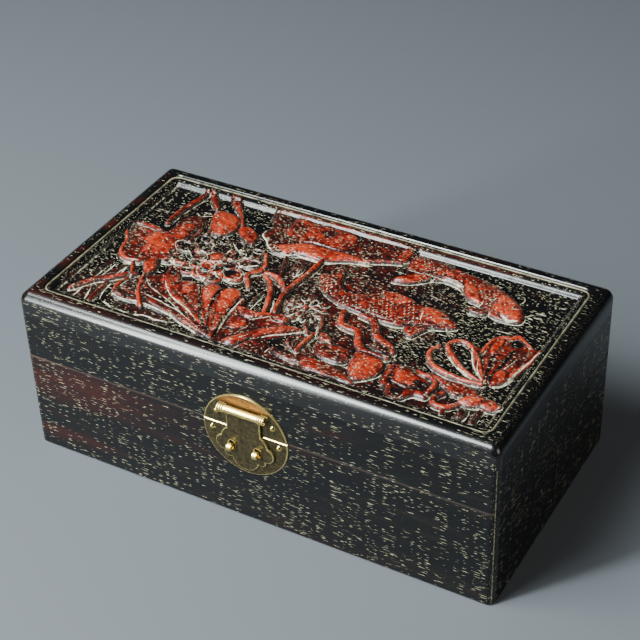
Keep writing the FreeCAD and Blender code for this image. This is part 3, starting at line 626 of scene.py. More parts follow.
def cutScales(outline, slant, pitchAlong=2.6, pitchAcross=1.7, depth=0.14):
    # rows of scales in an outline, each one overlapping the next towards the tail
    line = smoothLine(outline, closed=True)
    window = windowRound(line, 0.5)
    inside = insideOf(line, window) & (awayFrom(line, window)[0] > 1.0)
    c, s = math.cos(math.radians(slant)), math.sin(math.radians(slant))
    u = (gridX[window] * c + gridY[window] * s) / pitchAlong
    v = (gridY[window] * c - gridX[window] * s) / pitchAcross
    row = np.floor(v)
    across, along = v - row - 0.5, u + 0.5 * (row % 2)
    along = along - np.floor(along) - 0.5 + 0.9 * across ** 2
    seam = eased(1 - np.abs(along) / 0.22) * eased((0.5 - np.abs(across)) / 0.12) * inside
    height[window] -= depth * seam
    paste[window] = np.maximum(paste[window], (0.44 + 0.26 * seam + 1.3 * pasteGaps[window]) * (seam > 0.35))


# a petal one long and one wide, from its root round its tip
petalShape = [(-0.5, 0), (-0.3, 0.36), (0.05, 0.5), (0.35, 0.34), (0.5, 0), (0.35, -0.34), (0.05, -0.5),
              (-0.3, -0.36)]


def layPetal(x, y, length, width, angle, red, rise=2.3, dish=0.9):
    # a cupped petal about its own middle, pointing along the angle
    c, s = math.cos(math.radians(angle)), math.sin(math.radians(angle))
    outline = [(x + u * length * c - v * width * s, y + u * length * s + v * width * c)
               for u, v in petalShape]
    layForm(outline, rise, 0.9, red, 0.74, dish, rim=0.8, wiped=False)


# the pond's plants and fish, from the back of the lid to the front: first the left-hand stems, buds and the
# seed pod
layForm([-91,16, -92,24, -89,31, -84,33.5, -80,31, -77,24, -75,14, -80,8, -88,8], 1.5, 3.0, 0.55, 0.6)
rubPatch([-90,14, -90,27, -84,30, -79,22, -79,10, -86,8], 0.75)
layStem([-93,53, -94,45, -95.5,38, -96.5,30, -96.5,20], 3.6, 1.9, 0.62)
layForm([-91.5,54, -88,48, -84,44, -80.5,40.5, -79.5,42, -81,45.5, -84.5,50.5, -89.5,54.5], 2.0, 1.6, 0.6)
layForm([-79,55, -76.5,50, -72,46, -68,43.5, -66,42.5, -67,45.5, -70,49.5, -73,54, -77,55.5], 2.0, 1.6, 0.6)
layStem([-70,46, -65,41, -61,35, -59,33], 2.2, 1.9, 0.65)
cutLine([-89,36.5, -86.3,34, -83.6,34.7, -79.7,37])

# the folded leaf along the back: dark towards its ends, a swollen red middle with a dark navel, and a flap
# rolled forward over its front edge
layForm([-49,54.5, -50.5,47, -47,40.5, -49,36, -48.5,31.5, -44,29, -41.5,25, -38,22.3, -33,21.5, -29,22,
    -20,25.5, -9,25.5, -4,28.5, 1,31, 6,32.5, 11,33, 12,37.5, 20,40.5, 26,42.5, 27.5,49, 25,54, -10,55.5],
    1.5, 3.0, 0.66)
layForm([-40,53, -40,38, -28,33, -8,34, 0,40, -1,50, -8,54.5, -28,55], 2.3, 4.0, 0.78, blend=5.0)
rubPatch([-38,50, -38,39, -29,36, -26,43, -29,51], 0.52, 4.0)
rubPatch([-12,52, -13,40, -6,38, -1,44, -3,51], 0.82, 4.0)
layForm([-22,47, -17.5,52.5, -12.5,47, -17.5,41.5], 1.7, 1.2, 0.45, blend=2.6)
rubPatch([1,50, 2,39, 12,38, 20,42, 20,50, 10,53], 0.62)
layForm([22,52.5, 21,45, 22.5,40.8, 26.5,42, 28,48, 26.2,53], 2.4, 1.8, 0.72, 0.7)
layForm([-37,26.5, -30,22.8, -24,25.3, -14,25, -8,26.3, -2,29.6, 6,32.6, 10.5,33.5, 4,36, -3,37, -9,36,
    -16,36.5, -24,35.5, -31,31], 2.5, 3.4, 1.05, 1.0, tilt=(0.0, -0.02))
layStem([9,34.5, 15,37.5, 21,40, 25,41], 1.8, 2.2, 0.7, 1.0)
cutLine([-48,37, -47.5,32, -43.5,29, -40.5,25, -36,22], 1.0)

# sepal, seed pod and its stem
layForm([-61,33, -57,35, -53,33.5, -49,30, -47.5,26, -48,22, -53,24, -57,26, -60,29], 2.1, 2.0, 0.78)
layStem([-73,25, -72.5,19, -72,13], 2.4, 2.0, 0.65)
layForm([-79,40, -75.8,41.4, -69.1,41.1, -64.7,38.3, -62,33.3, -62.5,27, -66.5,22.3, -70.5,21.8, -74.5,26,
    -77,31], 3.0, 6.0, 0.88)

# the crumpled leaf on the left, rolled over along its edges
layForm([-111,8, -107,14.5, -100,14.5, -93,12.5, -88,15, -80,14, -75.5,9, -77,3, -76,-3, -76,-9, -82,-11,
    -89,-16, -97,-17.5, -102.5,-15, -104.5,-9, -107,-2], 1.8, 4.0, 0.72)
layForm([-101,6, -97,12, -90,13, -84,12, -80,2, -83,-8, -92,-10, -99,-5], 2.5, 4.0, 1.0, blend=5.0)
layForm([-100,1, -95,2, -92,-5, -96,-11, -101,-9], 1.5, 2.0, 0.75, blend=3.5)
layForm([-89,18, -85,26, -81,24, -78,10, -79,-4, -84,-7, -88,4], 2.4, 2.5, 0.85, blend=4.0)
layStem([-109.5,12.8, -103,13.3, -93,11.8], 3.2, 2.3, 0.6, 0.9)
layStem([-110,4, -107,0, -104.5,-5, -103.5,-10, -100.5,-14, -96,-16, -90,-15], 2.4, 2.3, 0.72, 0.9)
layStem([-77.5,22, -76.5,12, -77.5,2, -76.5,-7], 2.2, 2.0, 0.6, 0.9)
cutLine([-90,13, -91,4, -89.5,-6, -86,-11], 0.6, 0.4, 0.35)
for x0, x1, y in (
        (-84, -78, 20),
        (-81.5, -75.5, 9.6),
        (-81, -76, 6.8),
        (-108, -102, 2.8),
        (-104, -99, 7.5),
        (-90, -86, 23),
):
    cutLine([(x0, y + 0.3), (x1, y)], 0.7, 0.1, 0.75)
layStem([-92,-17, -89,-22, -86,-27], 2.2, 1.7, 0.7)
cutLine([-86,-26, -87.5,-29, -89,-33], 0.9)

# the lotus flower: rings of cupped petals, the back ones first
layForm([-77,10, -70,19, -58,21, -44,19, -35,13, -33,0, -38,-9, -50,-14, -64,-13, -75,-6], 1.4, 4.0, 0.34,
    blend=4.0)
# middle, length, width, angle, redness
lotusPetals = [
    (-70, 13, 13, 9, 125, 0.38),
    (-62, 16, 12, 9, 105, 0.34),
    (-53, 16, 12, 9, 80, 0.34),
    (-43.5, 14.5, 14, 9, 40, 0.38),
    (-75, 5.5, 13, 9, 172, 0.45),
    (-38.5, 6.5, 14, 9, 15, 0.5),
    (-71, -3.5, 14, 9.5, 200, 0.62),
    (-43, -4.5, 14, 10, -22, 0.7),
    (-64, -9, 11, 10, -115, 0.7),
    (-50, -10, 11, 10, -65, 0.72),
    (-66.5, 9, 11, 8, 140, 0.42),
    (-59, 11.5, 10, 9, 100, 0.42),
    (-50, 9.5, 11, 8, 45, 0.42),
    (-66.5, 1, 11, 8, 183, 0.52),
    (-48.5, 1.5, 11, 8, -5, 0.66),
    (-57, -9, 10, 11, -92, 0.85),
    (-62, -4, 9, 7.5, -135, 0.62),
    (-52.5, -4, 9, 7.5, -50, 0.66),
    (-57.5, -4.5, 8, 8, -95, 0.72),
]
for x, y, length, width, angle, red in lotusPetals:
    layPetal(x, y, length, width, angle, red)
layForm([-60,5.5, -56.8,7.2, -53.8,5.5, -54,2, -57,0.5, -60,2.2], 2.8, 1.8, 0.8)
rubPatch([-62,-1, -60,-5.4, -57,-6.4, -54.6,-4, -54.2,0, -58,1], 1.1, 1.0)
for path, width, red in (
        ([-60,-8.5, -57,-11.2, -53.5,-11.8, -51.5,-8.5], 3.2, 1.05),
        ([-58.5,-8, -55,-7.6], 1.8, 0.05),
        ([-74,-5.5, -70,-8.2, -66,-8.4, -62.5,-6.5], 2.4, 0.85),
        ([-50,-5.5, -47.5,-8, -43,-8.2, -40.3,-4.5, -41.5,-1], 2.8, 0.95),
        ([-69,5, -67.5,2.5, -65.5,1], 2.4, 1.05),
        ([-53,12, -51,9, -51,5], 1.8, 0.9),
        ([-41,8, -39,5], 3.0, 0.7),
        ([-49,-2.5, -44.5,-4], 4.0, 0.05),
        ([-72.5,-1, -67,-4.5], 4.0, 0.08),
        ([-74,2, -71,0], 3.0, 0.1),
):
    rubLine(path, width, red)
for path, width, strength in (
        ([-62,-1.5, -60.5,-5, -57.5,-6.7, -54.8,-5.2, -54,-1], 0.9, 1.0),
        ([-61.5,-7, -59.5,-10.2, -56,-13, -52.5,-13.6, -50,-11.5], 1.0, 1.0),
        ([-75.5,-6.5, -72.5,-9.2, -67.5,-10.2, -62,-8], 1.0, 1.0),
        ([-52,-6, -49,-9.2, -45,-10, -41,-9, -38.3,-5.5, -38.5,-1.5], 1.0, 1.0),
        ([-75,5.5, -71,1.5, -66.5,-1.8, -62.5,-1], 0.9, 0.95),
        ([-46,9.8, -42,9.6, -39.5,8], 0.8, 0.9),
        ([-44.5,1.5, -40,4, -35.5,7.5], 1.5, 1.0),
        ([-61,20, -56,18, -52.5,15, -48.5,12.6, -45.5,12.6], 1.0, 1.0),
        ([-45,16.8, -41,16.4, -36,17.4], 0.9, 0.9),
        ([-66,-11.3, -62,-11.8], 0.8, 0.9),
        ([-54,1, -50,1.8], 1.2, 0.9),
):
    cutLine(path, width, 0.12, strength)
layStem([-37,18, -34.5,13, -32,8.5, -32.5,4, -36,0.5, -35.5,-3, -33,-6, -31,-9.5], (2.0, 2.8), 2.1, 0.85)
layStem([-81,0, -78.5,-3, -76,-5.5], 1.8, 1.9, 0.4)

# stems crossing in the middle
layStem([-27.5,21, -24,12, -21.5,5], 2.2, 1.6, 0.4)
layStem([-23,-10, -23.2,-20], 2.0, 1.4, 0.35)
layForm([-20.5,19, -16.5,18, -15,13.5, -17,9.5, -20,12], 1.5, 1.2, 0.35)
layStem([-29,4, -25,4.2, -20,2, -15,-3], 3.2, 2.0, 0.95)
layStem([-28,1.5, -24,-1, -21,-5, -18,-11, -15.5,-18, -13,-25], 2.8, 2.1, 0.9)
cutLine([-28,3, -25,1.5, -21.5,-0.5, -18,-2, -15,-3.5], 0.7, 0.3)
cutLine([-15,-12.5, -13,-17, -11.5,-22], 1.1, 0.2)
layStem([-10,25, -10.5,15, -12,4, -12.8,-6, -11.5,-13, -10.5,-18, -9,-22], 3.0, 2.4, 0.72)
cutLine([-15.7,14, -16,7, -15.8,2], 0.7, 0.15)
cutLine([-20.8,-12, -21.3,-20, -21,-27], 0.9, 0.2)

# the lower carp
carpBody = [-5,16, -4,12, -1,7.5, 5,2.5, 15,-2, 28,-4, 44,-5, 52,-2, 60,0.5, 66.5,3, 71,6, 67,11, 60,15,
    50,14.5, 44,16, 36,17.5, 29,16, 20,9.5, 12,9, 8.5,12, 4,23, 0,25, 2.5,18]
layForm(carpBody, 2.5, 7.0, 0.7)
cutScales(carpBody, -12.0)
rubPatch([10,5, 22,7, 30,14, 46,13, 50,4, 40,-3, 22,-3], 0.68, 4.0)
layForm([26,17, 30,9, 38,7, 46,10, 46,16.5, 36,18.5], 2.8, 4.0, 0.84, blend=3.5)
layForm([51,14, 50,6, 55,2, 62,2.5, 68.5,5, 66,11, 58,15], 2.8, 4.5, 0.95, blend=2.5)
cutLine([53,10, 53.2,6, 54.5,2.5, 57,0.5], 0.9)
cutLine([66,4.2, 68.5,2.7, 72,2], 0.8)
layForm([62.2,9.6, 63.6,10.4, 64.6,9.2, 63.2,8.2], 2.9, 0.8, 0.2, 0.9)
layForm([49.5,-4.5, 52.5,-9, 55.5,-9.8, 57.5,-5.5, 59.5,-0.5, 54,-1.5], 1.9, 1.2, 0.62)
cutLine([52,-3, 53.5,-8], 0.5, 0.2, 0.6)
cutLine([9,8, 4,12, 1.5,20], 0.6, 0.3, 0.6)

# the upper carp
carpBack = [28,50, 36,51, 45,50, 55,47.5, 65,46.5, 74,44, 80,41, 88,36.5, 94,30, 95.5,24, 93,21.5, 86,20.8,
    80,22.5, 72,27.5, 64,31, 59,35.5, 50,37, 44,35.5, 36,37, 30,38]
layForm(carpBack, 2.3, 6.0, 0.82)
cutScales(carpBack, -8.0)
rubPatch([29,48, 40,49, 52,46, 56,40, 44,38.5, 30,40], 0.8, 3.0)
layForm([28,26.5, 33,26.8, 38,29.5, 44,35, 45,39, 40,39.5, 35,34.5, 29,30], 2.2, 1.6, 0.85, 0.9)
layStem([31,37.6, 38,37.8, 45,38.2, 52,39, 59.5,37.2], 2.2, 2.4, 0.5, 1.0)
layForm([58,41.8, 61,36, 64,30.5, 68,28, 72.8,27.5, 72.5,30.5, 68,37, 63,42], 2.5, 1.8, 0.9)
layForm([77,34, 81,39.5, 88,37, 94,30, 94.5,23, 88,21.5, 81,24, 77,28], 2.8, 5.0, 1.0, blend=3.0)
cutLine([80.5,39, 78,34, 77.5,29, 79.5,24.5], 0.7, 0.3, 0.7)
layForm([88.2,31.4, 89.8,32.2, 90.8,31, 89.4,29.8], 2.9, 0.8, 0.2, 0.9)
cutLine([85,23.6, 89.5,21.4, 94,23], 1.5, 0.2)
cutLine([94.5,28.5, 97,31, 98.5,32.5], 0.8, 0.2)
cutLine([88,43.5, 90,40.5, 89,36.5], 0.7, 0.15)
layForm([70.5,20.3, 74,19.8, 78,21, 79,23.5, 74,24.6, 70,24], 1.8, 1.0, 0.6)

# a small double flower over the middle
layForm([-9,-11, -5,-4, 2,-2.5, 9,-5, 12,-11, 9,-18, 2,-21, -6,-18], 1.2, 3.0, 0.25, 0.0)
for ring, (count, middle, length, width) in enumerate(((13, 7.4, 6.5, 3.3), (9, 4.2, 5.0, 2.6))):
    for turn in range(count):
        angle = turn * 360 / count + 12 + 14 * ring
        c, s = math.cos(math.radians(angle)), math.sin(math.radians(angle))
        reach = middle + 0.8 * math.sin(2.3 * turn)
        red = 0.30 + 0.25 * (turn % 3 == 0)
        layPetal(2 + reach * c, -12 + reach * s, length, width, angle, red, 1.9, 0.6)
layForm([-0.2,-12, 2,-10, 4.2,-12, 2,-14], 2.4, 1.4, 0.8)
layStem([7,-19, 9,-25, 12,-28], 2.2, 1.8, 0.5)
layStem([13,-16, 16,-22, 17,-28], 2.2, 1.9, 0.5)
cutLine([12,-18, 15,-25, 14,-30], 0.9)

# ribbons of leaf to its right
layStem([19.5,-6, 20.5,-11, 22.5,-15, 27,-16.5, 32,-17, 34.5,-20, 36.5,-24.5, 41,-28.5, 47,-29, 53,-28.5],
    3.8, 2.1, 0.8)
layStem([28,-5, 34,-6, 38,-10, 41,-15.5, 46,-18.5, 51,-21, 53.5,-24], 4.0, 2.2, 0.72)
layForm([43,-20, 50,-22.5, 54,-26, 52,-28, 46,-26, 41,-23], 1.6, 1.6, 0.45, 0.7)

# small curl, stems and reeds on the left
layStem([-102,-20, -103.5,-28, -104,-40], 2.2, 1.3, 0.35)
layStem([-95,-22, -97,-33], 2.2, 1.4, 0.4)
layStem([-94,-37, -93,-52], 2.8, 1.6, 0.6)
for reed in (
        [-99.5,-19, -100,-32],
        [-93.5,-20, -92.5,-28],
        [-103,-44, -102.5,-50, -104,-54],
        [-99,-42, -97,-49, -95.5,-54],
        [-92,-36, -91.5,-43, -89.5,-49],
):
    cutLine(reed, 1.0, 0.15)
layStem([-107,-48, -101,-38, -95,-33, -89,-27, -85,-24.5], 3.2, 2.0, 0.62)
layForm([-87,-14, -84.5,-8, -81,-10, -78.8,-16, -78.5,-20.5, -80.5,-23, -84.5,-19], 2.3, 1.8, 0.85)
layForm([-73,-10, -69,-11, -66,-14, -64,-19, -66,-22, -70,-21, -73,-16], 1.9, 1.4, 0.7, 0.8, dish=0.5,
    rim=1.0)

# the big fan leaf along the front: folds that widen from its root to its outer edge, with pale lines between
layForm([-24,-53.5, -35,-51.5, -47,-48, -58,-45.5, -68,-44, -80,-45, -87,-43.5, -88,-37, -84,-28, -78,-23,
    -70,-17.5, -60,-20, -50,-18, -40,-16.5, -28,-18, -24,-26, -18,-29, -9,-24, -2,-27, 6,-27, 10,-29, 3,-36,
    -6,-45, -14,-52], 1.6, 2.0, 0.74, 0.0, tilt=(0.0, 0.035))
rubPatch([-90,-26, -90,-47, -60,-48, -30,-53, -34,-46, -48,-40, -60,-34, -72,-27, -80,-22], 0.45, 3.0)
# the middle of each fold from the root outwards, its width at both ends, rise, redness
fanFolds = [
    ([-30,-51.5, -42,-47.5, -58,-43.8, -72,-42.8, -86,-42.5], (1.6, 2.6), 1.1, 0.9),
    ([-31,-50, -45,-44.5, -58,-41, -72,-39, -87,-37.5], (1.6, 2.8), 1.6, 0.7),
    ([-33,-47.5, -47,-41.5, -60,-37, -71,-33, -80,-28], (1.8, 4.0), 1.9, 0.7),
    ([-33,-46, -45,-39.5, -55,-34, -63,-29, -69,-22], (2.2, 7.4), 2.3, 0.85),
    ([-30,-46, -40,-37, -49,-29.5, -57,-22.5], (2.6, 9.5), 2.3, 0.72),
    ([-28.5,-46, -35,-37, -40.5,-28, -45,-19.5], (2.8, 9.5), 2.4, 0.85),
    ([-27,-46, -30,-37, -33,-28, -35,-18.5], (3.0, 10.0), 2.4, 0.88),
]
for path, width, rise, red in fanFolds:
    layStem(path, width, rise, red, 0.0, taper=0.0)
rubPatch([-38.8,-17, -34,-15.5, -29.8,-17, -29.3,-25, -31,-31, -36.5,-30, -38.8,-24], 1.3, 2.0)
rubPatch([-47.3,-22, -44,-20, -41,-24, -41.6,-31, -45,-31.5, -47.6,-26], 1.25, 2.0)
rubPatch([-66,-26, -58,-21.5, -52.5,-24, -55,-31, -62,-31], 1.15, 2.0)
for path, width, red in (
        ([-42,-31, -38,-38, -33,-45, -28,-51], 2.4, 0.85),
        ([-31.5,-31, -29.8,-38, -27,-46, -25,-52], 2.2, 0.75),
        ([-52,-17, -50,-22, -46,-28.5, -42,-35, -36,-43, -30,-49], 1.5, 0.05),
        ([-41,-17, -39.8,-25, -37.2,-33, -33,-42, -28,-50], 1.5, 0.05),
        ([-29,-18, -28.2,-30, -27,-40, -25,-50], 1.3, 0.05),
        ([-68,-20, -65.5,-24, -61,-28.5, -56,-33, -48,-37, -40,-42], 1.8, 0.85),
        ([-78,-25, -72,-29, -66,-31.8, -60,-34.5, -52,-38.5], 1.6, 0.65),
        ([-86,-34.8, -76,-34.8, -66,-36.6, -54,-39.5, -44,-43.5], 1.6, 0.08),
        ([-85,-40, -76,-40, -66,-41.5, -54,-43.5, -44,-46.8], 2.0, 0.62),
):
    rubLine(path, width, red)
for path, width, strength in (
        ([-86,-43.3, -80,-44.5, -75,-43.6, -68,-43.2, -60,-44, -52,-45.5, -45,-48, -38,-50, -31,-52.5], 1.0,
         1.0),
        ([-85,-36, -79,-36.6, -73,-37.2, -67,-38.2, -61,-39.2, -56,-40.6, -51,-41.4, -46,-43.4, -40,-46,
         -34,-49], 0.9, 0.95),
        ([-79.5,-23.5, -77,-27, -73,-30.5, -68,-33, -63,-35, -57,-37.5, -51,-40.6, -45,-43.5], 0.9, 0.95),
        ([-69,-23, -66,-27, -62,-31, -57,-34.5, -50,-37.5, -44,-40.5, -38,-44], 1.0, 1.0),
        ([-52,-18, -50.3,-22, -47.5,-27], 0.7, 0.8),
        ([-84,-31, -81,-32, -78,-31.8], 0.7, 0.8),
        ([-27.6,-19, -27.4,-33, -26,-42, -24.5,-48], 1.0, 0.9),
        ([-47,-33, -42,-40, -36,-46.5], 0.6, 0.6),
        ([-60,-26, -56,-26.4], 0.6, 0.7),
        ([-60.5,-28, -57,-28.6], 0.6, 0.7),
):
    cutLine(path, width, 0.15, strength)
layStem([-86,-30, -87.5,-36, -86,-41, -81,-43], 2.4, 2.4, 0.58)
layStem([-81,-22.7, -78,-31.5, -73.5,-39.3, -66.3,-48.2], 2.2, 2.6, 0.78)
layForm([-27,-26, -22,-31, -17,-31.5, -11,-27, -9,-22.5, -16,-25.5, -22,-24.5], 2.5, 1.7, 0.85)
layForm([-25,-32, -17,-32, -15.5,-38, -21,-42, -25.5,-39], 2.3, 2.5, 0.85, 0.5)
layForm([-20,-51, -15,-43, -8,-34.5, -1,-29, 5,-27, 9.5,-28, 4,-33, -3,-38.5, -9,-45, -14,-52], 2.5, 2.8,
    0.7, 1.0, tilt=(0.03, -0.03))
layForm([-9,-23, -4,-21.5, 0.5,-23.5, -1,-27.5, -7,-27], 2.2, 1.8, 0.7)
layForm([-87,-50, -82,-51.5, -77,-54, -71,-54.3, -65,-52.5, -61,-50.5, -56,-51, -48,-49.5, -52,-47,
    -62,-46.5, -74,-46.5, -82,-47.5], 0.7, 2.5, 0.3, 0.0)
rubLine([-69,-48.5, -62,-48, -56,-48.3, -51,-48.2], 2.4, 0.62)
cutLine([-88,-49.5, -83,-51, -78,-53.4, -72,-54.3, -68,-52.9, -64,-50.7, -60,-50.4, -57,-51, -52,-50,
    -48,-49], 1.1, 0.15)

# bottom middle
layForm([-11,-52, -9,-44, -3,-41, 1,-45, -2,-53.5], 1.7, 2.2, 0.55, 0.7)
layForm([3,-44, 10,-46, 15,-46, 20,-43.5, 22,-47, 14,-50, 5,-48], 1.7, 1.6, 0.5)
layForm([17,-45, 28,-43.5, 38,-45.5, 48,-51, 38,-52.8, 24,-52], 2.0, 2.4, 0.75)
layForm([2,-49, 14,-51, 24,-52.8, 12,-54, 1,-53.5], 1.2, 1.5, 0.4, 0.6)
layStem([15.5,-28, 14.5,-35, 14,-42], 2.4, 2.2, 0.8)
layForm([13,-31.5, 8,-33, 6,-36.5, 8,-40.5, 12,-42, 12,-36], 1.9, 1.2, 0.5, 0.9, dish=0.8, rim=1.2)
layForm([18,-25, 22,-25.5, 26,-29.5, 24,-31.5, 19,-29.5], 2.0, 1.6, 0.75)
layForm([20,-33, 28,-30, 36,-31.5, 39,-36, 36,-41, 28,-41.5, 21,-38], 1.9, 3.0, 0.7, 0.7)
layForm([39,-31, 39.5,-38, 42,-44, 46.5,-49, 53,-44, 55.5,-38, 53.5,-32, 46,-29.5], 2.8, 5.0, 0.85)
cutLine([47,-31, 47.5,-38, 46.5,-46], 0.5, 0.25, 0.3)

# curled leaves on the right
layForm([57,-31, 56.5,-38, 58,-45, 62,-48, 66,-53, 71,-52, 75,-46.8, 81,-46, 80,-38, 74,-33, 66,-30], 1.9,
    2.2, 0.7, 1.0, dish=0.4, rim=2.5)
layForm([60,-33, 67,-32.5, 74,-35, 77,-42, 70,-44.5, 62,-43], 2.5, 4.0, 0.9, blend=3.0)
rubPatch([72,-37, 79,-38, 78,-44, 72,-44], 0.25, 2.0)
layForm([66,-45.8, 70.5,-46.5, 70,-51, 66,-51.5, 64.5,-48.5], 1.4, 1.0, 0.15, 0.6, dish=1.1, rim=0.8)
layStem([70,-31, 73.5,-32.5, 78,-32, 80.8,-36, 80.5,-43], 2.8, 2.5, 0.72)
layForm([73,-29.5, 84,-30, 90,-29.5, 98,-31, 100,-35, 95,-38, 90,-39, 85,-36, 79,-33], 1.9, 2.2, 0.85, 0.6)
layStem([86.5,-39.5, 84,-44, 86,-48, 91,-48, 95,-44.5], 2.8, 2.2, 0.75)
layStem([106,-41, 105.5,-47, 106,-53], 2.8, 1.5, 0.45)
layForm([97,-45, 98,-52, 101,-51, 100.5,-45], 1.8, 1.1, 0.45)
layStem([91,-50, 92,-54], 2.4, 1.6, 0.6)
layForm([94.5,-42, 95.5,-37.5, 99.5,-34, 104,-34.5, 107,-38, 104,-41, 99,-42.8], 2.8, 4.0, 1.0)
layForm([104,-37, 108,-34.5, 112.5,-37, 113,-40, 108,-41.8, 103.5,-41], 2.4, 2.4, 0.85)

# the fan of leaves on the far right, each with its edge rolled over
layForm([100,-28.5, 86,-28.5, 74,-26, 68,-18, 70,-9, 74,-4, 80,-1.5, 86,-4, 89,4, 93,9, 99,13, 105,8, 110,7,
    113,4, 111.5,-4, 109,-15, 106,-23], 0.8, 1.5, 0.16, 0.0)
layForm([88.5,-3, 90,3, 92,8, 96.5,9.5, 99,12.5, 105,9, 109,7.5, 113,4.5, 111,-4, 107.5,-17, 102,-25,
    97.5,-25, 92.5,-12], 1.9, 2.0, 0.82, 0.7)
rubPatch([98,9, 103,9, 105,5, 101,2.5, 97.5,5], 0.1, 1.5)
rubPatch([104,4, 110,2, 108,-8, 104,-12, 102,-2], 0.5, 2.0)
layForm([84,-3, 89,-4, 90.5,-9, 96,-20, 98.5,-26.5, 91,-19, 86,-10], 2.0, 1.6, 0.88, 0.0)
rubLine([93.5,2, 95,-6, 97,-15, 99,-24], 1.8, 0.2)
rubLine([102,0, 101.5,-10, 100.5,-22], 2.2, 0.15)
rubLine([71,-13, 79,-19, 90,-25], 2.6, 0.6)
# points round each rolled leaf edge
rightLobes = [
    [99,-27, 90,-27.5, 81,-26.5, 74,-24, 69.5,-19, 68.3,-14.5, 70.5,-10.5],
    [98,-25.5, 88,-21.5, 79,-14.5, 74,-8.5, 74.8,-4.5, 79,-2.4, 84,-4.5, 88.5,-9.5, 93,-16, 98,-24],
    [89.3,-6, 89.5,-1, 91,5, 94,8.2, 97.5,9, 99.5,11.5, 104,9, 107.5,7],
    [112.5,4.5, 111.2,-4, 107.6,-16, 102.5,-25],
]
for lobe in rightLobes:
    layStem(lobe, 2.9, 2.3, 0.95, 0.75, taper=0.5)
for start, end in (
        ((71.5, -10), (97, -27)),
        ((84, -5), (98, -25)),
        ((89.5, -9), (97.5, -24)),
        ((106, -2), (102, -24)),
):
    cutLine([start, ((start[0] + end[0]) / 2 - 1, (start[1] + end[1]) / 2 - 1.5), end], 0.8, 0.3)
layForm([91.5,5, 95,7.5, 96.5,3, 95.5,-5, 92.5,-5, 90.8,0], 2.4, 1.6, 0.95, 0.0)
layForm([101,-14, 106,-14, 107.5,-19, 104,-25, 100.5,-23], 2.3, 2.4, 0.9, 0.3)
cutLine([113.5,5, 112,-2, 110.5,-8, 109,-15, 107,-22, 104,-25.5], 1.2, 0.1)

# ripples cut into the open water
for x0, x1, y in (
        (98, 105, 34),
        (83, 105, 13.5),
        (88, 100, 11.5),
        (84, 104, -46),
        (-8, 2, 0.5),
        (-110, -100, 30),
        (16, 30, 19),
        (44, 52, 18.5),
        (54, 60, -16),
        (70, 78, 11.5),
        (106, 112, 12),
):
    cutLine([(x0, y), ((x0 + x1) / 2, y + 0.4), (x1, y - 0.2)], 0.7, 0.1, 0.8)

smallRipples = {   # mm
    "count": 110,
    "alongLid": (-108, 108),
    "acrossLid": (-50, 48),
    "length": (2.5, 6.5),
    "width": 0.8,
    "depth": 0.06,
    "strength": 0.92,
}
rippleSpots = np.random.default_rng(61)
for ripple in range(smallRipples["count"]):
    x, y, length = (rippleSpots.uniform(*smallRipples[key]) for key in ("alongLid", "acrossLid", "length"))
    row, column = (int((end - grid[0, 0]) / pitch) for end, grid in ((y, gridY), (x, gridX)))
    if redness[row, column] == 0:
        ends = [(x - length / 2, y), (x + length / 2, y - 0.1)]
        cutLine(ends, smallRipples["width"], smallRipples["depth"], smallRipples["strength"])

# tool marks, then the rubbed colour: what stands above its surroundings shows the most red
aboveGround = height - groundHeight
onForms = eased(aboveGround / 0.6)
height += carvingLook["toolMarks"] * (0.6 * unevenness(2.3, 31) + 0.4 * unevenness(1.0, 32)) * onForms
swelling = 0.7 * unevenness(6.5, 36) + 0.3 * unevenness(3.5, 37)
height += carvingLook["swells"] * swelling * eased(aboveGround / 2.0)
height += carvingLook["groundWaves"] * unevenness(3.0, 33) * onGround
soft = carvingLook["softening"]
height = (1 - soft) * height + soft * blurred(height, pitch)

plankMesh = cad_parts["lid_carved_plank"].data
plankTree = BVHTree.FromPolygons([v.co for v in plankMesh.vertices], [p.vertices for p in plankMesh.polygons])
down, overhead = Vector((0, 0, -1)), (lidTop + 10) * mm
solidTop = [plankTree.ray_cast(Vector((x * mm, y * mm, overhead)), down)[0].z / mm
            for x, y in zip(gridX.ravel(), gridY.ravel())]
covered = np.array(solidTop).reshape(height.shape) + carvingLook["clearance"]
lifted = np.maximum(covered - height, 0) * (onGround > 0.98)
height = np.minimum(np.maximum(height, covered), carvingLook["ceiling"])
print("the plank's own forms lift the carving by up to", round(float(lifted.max()), 2), "mm")

rubbing = {   # how clean the wood is rubbed, from 0 to about 1
    "least": 0.08,
    "perHeight": 0.29,       # for each mm above the ground
    "perCrest": 0.45,        # for each mm above what lies around
    "crestReach": 2.4,       # mm
    # painted sheen: extra red on slopes that face the front and the lights, so that their highlights look
    # pink
    "frontSheenRed": 0.18,       # on the sides that face the front
    "most": 1.05,
    # painted reflection: red on the quarter-round along the back, so that its highlight looks pink as if it
    # mirrored the red carving
    "backOvoloRedReflection": 0.5,       # on the quarter-round along the back
}
aboveGround = height - groundHeight
crest = height - blurred(height, rubbing["crestReach"])
# painted sheen: how steeply each spot faces the front, towards the lights
frontSheenSlope = np.clip(np.gradient(height, pitch, axis=0), 0, 1)
proudAndFrontSheen = rubbing["least"] + rubbing["perHeight"] * aboveGround + rubbing["perCrest"] * crest
proudAndFrontSheen = np.clip(proudAndFrontSheen + rubbing["frontSheenRed"] * frontSheenSlope, rubbing["least"], rubbing["most"])
rubbedAndSheen = redness * proudAndFrontSheen * (1.02 + 0.26 * unevenness(6.0, 34) + 0.18 * unevenness(1.8, 35))
rubbedAndSheen = np.maximum(rubbedAndSheen, groundRed * onGround * np.clip(1 + 0.6 * crest, 0.4, 1.2))
